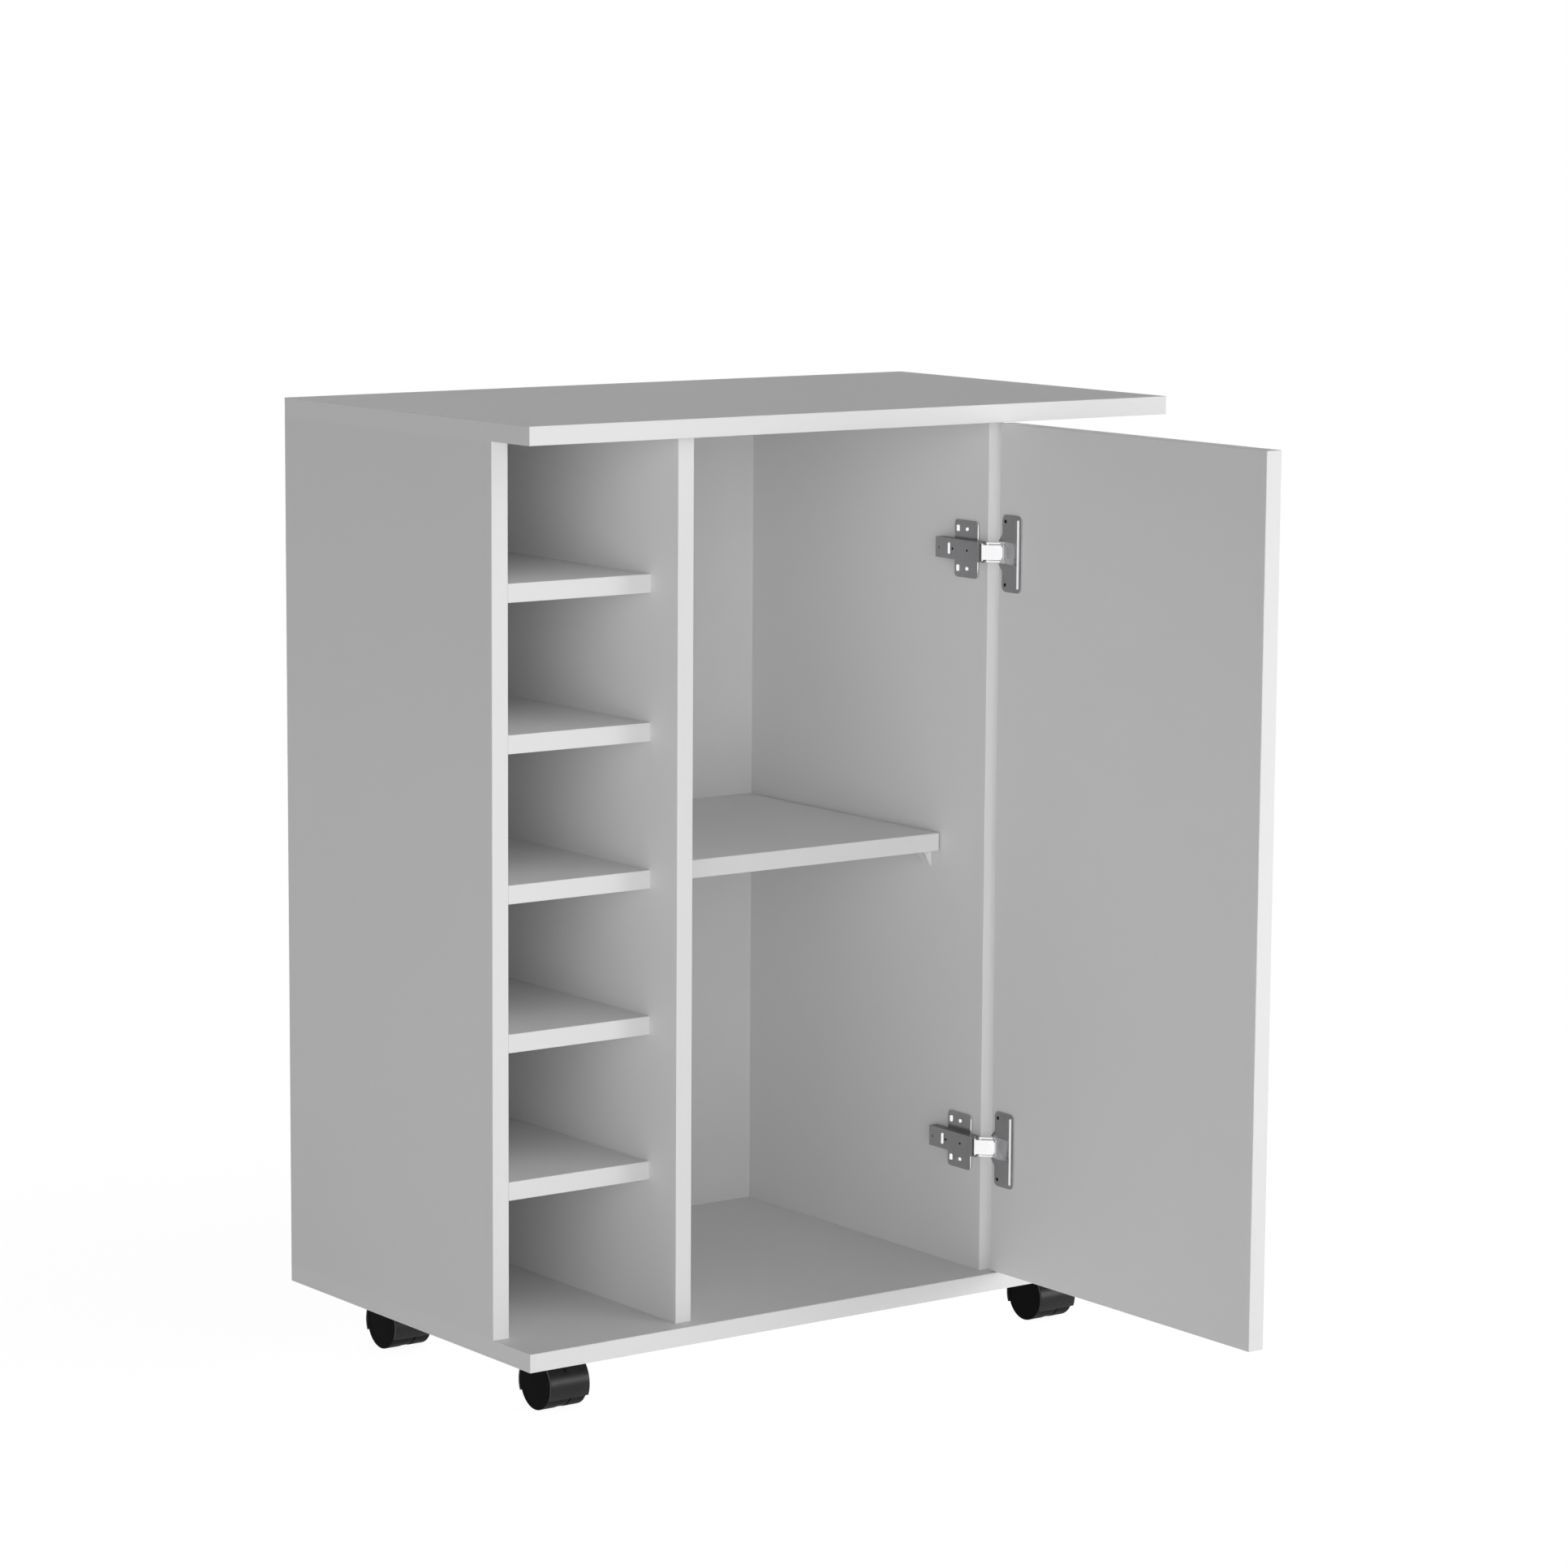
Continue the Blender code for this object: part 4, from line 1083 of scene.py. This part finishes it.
def cup_bmesh(hinge):
    """A cup with a shallow satin bowl, a rib and black discs of painted shade in its screw holes.
    """
    low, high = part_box(f"{hinge}_hinge_cup")
    door_low, door_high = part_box("door_panel")
    corner = Vector((door_low.x, door_high.y, (low.z + high.z) / 2))
    bm = plain_copy(f"{hinge}_hinge_cup")
    for vert in bm.verts:
        if abs(vert.co.x - corner.x - BOWL_FLOOR) < WELD:
            vert.co.x = corner.x + BOWL_SHOWN
    soften(bm, HINGE_EASE, steps=2)
    split_at(bm, corner + Vector((0.0, -SATIN_FROM_EDGE, 0.0)), Vector((0.0, 1.0, 0.0)))
    for face in bm.faces:
        spot = face.calc_center_median() - corner
        inside = math.hypot(spot.y + CUP_FROM_EDGE, spot.z) < BOWL_RADIUS and spot.x > -PIT_DEPTH
        if inside and spot.y > -SATIN_FROM_EDGE and face.normal.x < BACKWARD:
            face.material_index = SATIN
    add_rib(bm, corner)
    # A black disc of painted shade in each screw hole.
    for side in (-1, 1):
        screw = corner + Vector((-PIT_DEPTH, -SCREW_FROM_EDGE, side * SCREW_SPACING / 2))
        add_shade_disc(bm, screw, SCREW_PIT, HOLE_SHADE_DISC)
    return bm


for hinge in HINGES:
    cup = f"{hinge}_hinge_cup"
    show("shown_" + cup, cup_bmesh(hinge), cup, (cup_satin, shade_disc_steel))
print("hinge cups:", len(HINGES))

# %% [markdown]
# ## Links
# The link is a bright bar, flat enough to mirror nothing but the white room, and its end in the
# cup is satin: a plane cuts the faces there, so that the finish changes at a straight line.
# A thin strip stands on a post above and below the bar, so that three bright bands show between
# arm and cup. Strips and posts are cubes, scaled and turned into place by one matrix.

# %% Hinge links
LINK_EASE = 0.0004
LINK_START = Vector((-0.0075, -0.00173, 0.0))
LINK_END = Vector((0.005, -0.014, 0.0))
SHINE_TO = 0.95
STRIP_FROM = 0.2
STRIP_TO = 0.85
STRIP_LOW = 0.0070
STRIP_HIGH = 0.0081
STRIP_THICKNESS = 0.0008
POST_SIZE = (0.001, 0.0006, 0.002)
POST_RISE = 0.0065


def link_bmesh(hinge):
    """The CAD's link with soft edges, a satin end and a thin strip above and below."""
    bm = soften(plain_copy(f"{hinge}_hinge_link"), LINK_EASE, steps=3)
    run = LINK_END - LINK_START
    start = hinge_spot(hinge, 0.0, 0.0, 0.0) + LINK_START
    cut = start + run * SHINE_TO
    split_at(bm, cut, run)
    for face in bm.faces:
        if (face.calc_center_median() - cut).dot(run) > 0.0:
            face.material_index = SATIN
    turn = Matrix.Rotation(math.atan2(run.y, run.x), 4, "Z")
    strip_size = (run.length * (STRIP_TO - STRIP_FROM), STRIP_THICKNESS, STRIP_HIGH - STRIP_LOW)
    strip_middle = run.length * (STRIP_FROM + STRIP_TO) / 2
    post_middle = run.length * STRIP_FROM + POST_SIZE[0]
    for side in (-1, 1):
        strip = (strip_middle, side * (STRIP_LOW + STRIP_HIGH) / 2, strip_size)
        post = (post_middle, side * POST_RISE, POST_SIZE)
        for along, up, size in (strip, post):
            place = Matrix.Translation(start) @ turn @ Matrix.Translation((along, 0.0, up))
            bmesh.ops.create_cube(bm, size=1.0, matrix=place @ Matrix.Diagonal((*size, 1.0)))
    return bm


for hinge in HINGES:
    link = f"{hinge}_hinge_link"
    show("shown_" + link, link_bmesh(hinge), link, (cup_satin,))
print("hinge links:", len(HINGES))

# %% [markdown]
# ## Wheels
# Each caster has two wheels of black plastic whose outer faces are plain discs. A wheel is the
# perfect job for spin: draw half of its section once and turn it round the axle. Sixty-four steps
# keep the tread round up close, and a bevel on the rings that turn sharply softens the rims.
# Where that bevel fills a wall of the fine groove, it leaves doubled points, which are merged.
# The faces of the tread are marked, because they are painted greyer there as painted light.

# %% Wheels
WHEEL_STEPS = 64
AXLE_GAP = 0.0003
RING_EASE = 0.0006
RIM_TURNS = math.radians(60)
TREAD_FACING = 0.3
COVER_GROOVE = 0.0003
COVER_RADIUS = 0.0165


def wheel_bmesh(radius, width, bore, bore_depth):
    """A wheel along +X from its inner face: bore, tread and a plain face with one fine groove."""
    section = [
        (bore_depth, 0.0),
        (bore_depth, bore),
        (0.0, bore),
        (0.0, radius),
        (width, radius),
        (width, COVER_RADIUS + COVER_GROOVE),
        (width - COVER_GROOVE, COVER_RADIUS),
        (width, COVER_RADIUS - COVER_GROOVE),
        (width, 0.0),
    ]
    bm = bmesh.new()
    dots = [bm.verts.new((along, out, 0.0)) for along, out in section]
    line = [bm.edges.new(pair) for pair in zip(dots, dots[1:])]
    bmesh.ops.spin(
        bm, geom=dots + line, cent=(0, 0, 0), axis=(1, 0, 0), angle=math.tau,
        steps=WHEEL_STEPS, use_merge=True,
    )
    bmesh.ops.remove_doubles(bm, verts=bm.verts[:], dist=WELD)
    bmesh.ops.recalc_face_normals(bm, faces=bm.faces[:])
    rims = [e for e in bm.edges if e.is_manifold and e.calc_face_angle() > RIM_TURNS]
    round_edges(bm, rims, RING_EASE, steps=3)
    bmesh.ops.remove_doubles(bm, verts=bm.verts[:], dist=WELD)
    # Tread faces are marked for the greyer colour painted on them as painted light.
    tread = bm.faces.layers.float.new("tread")
    for face in bm.faces:
        middle = face.calc_center_median()
        outside = math.hypot(middle.y, middle.z) > radius - RING_EASE
        face[tread] = 1.0 if outside and abs(face.normal.x) < TREAD_FACING else 0.0
    return bm


wheels = []
for node in nodes:
    if node.endswith("_wheel"):
        low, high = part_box(node)
        axle_low, axle_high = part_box(node.rsplit("_", 2)[0] + "_axle")
        bore = (axle_high.z - axle_low.z) / 2 + AXLE_GAP
        hub = (low + high) / 2
        if node.endswith("left_wheel"):
            turn = Matrix.Rotation(math.pi, 4, "Z")
            inner = Vector((high.x, hub.y, hub.z))
            seat = high.x - axle_low.x
        else:
            turn = Matrix.Identity(4)
            inner = Vector((low.x, hub.y, hub.z))
            seat = axle_high.x - low.x
        wheel = wheel_bmesh((high.z - low.z) / 2, high.x - low.x, bore, seat + AXLE_GAP)
        bmesh.ops.transform(wheel, matrix=Matrix.Translation(inner) @ turn, verts=wheel.verts[:])
        wheels.append(show("shown_" + node, wheel, node))
print("wheels:", len(wheels))

# %% [markdown]
# The box of the dressed model is set against the CAD's box, and its growth is printed.

# %% Sizes
shown_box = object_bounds()
growth = [round(1000 * (shown - cad), 3) for shown, cad in zip(shown_box[1], cad_box[1])]
print("box grew by", growth, "mm at its far corner")
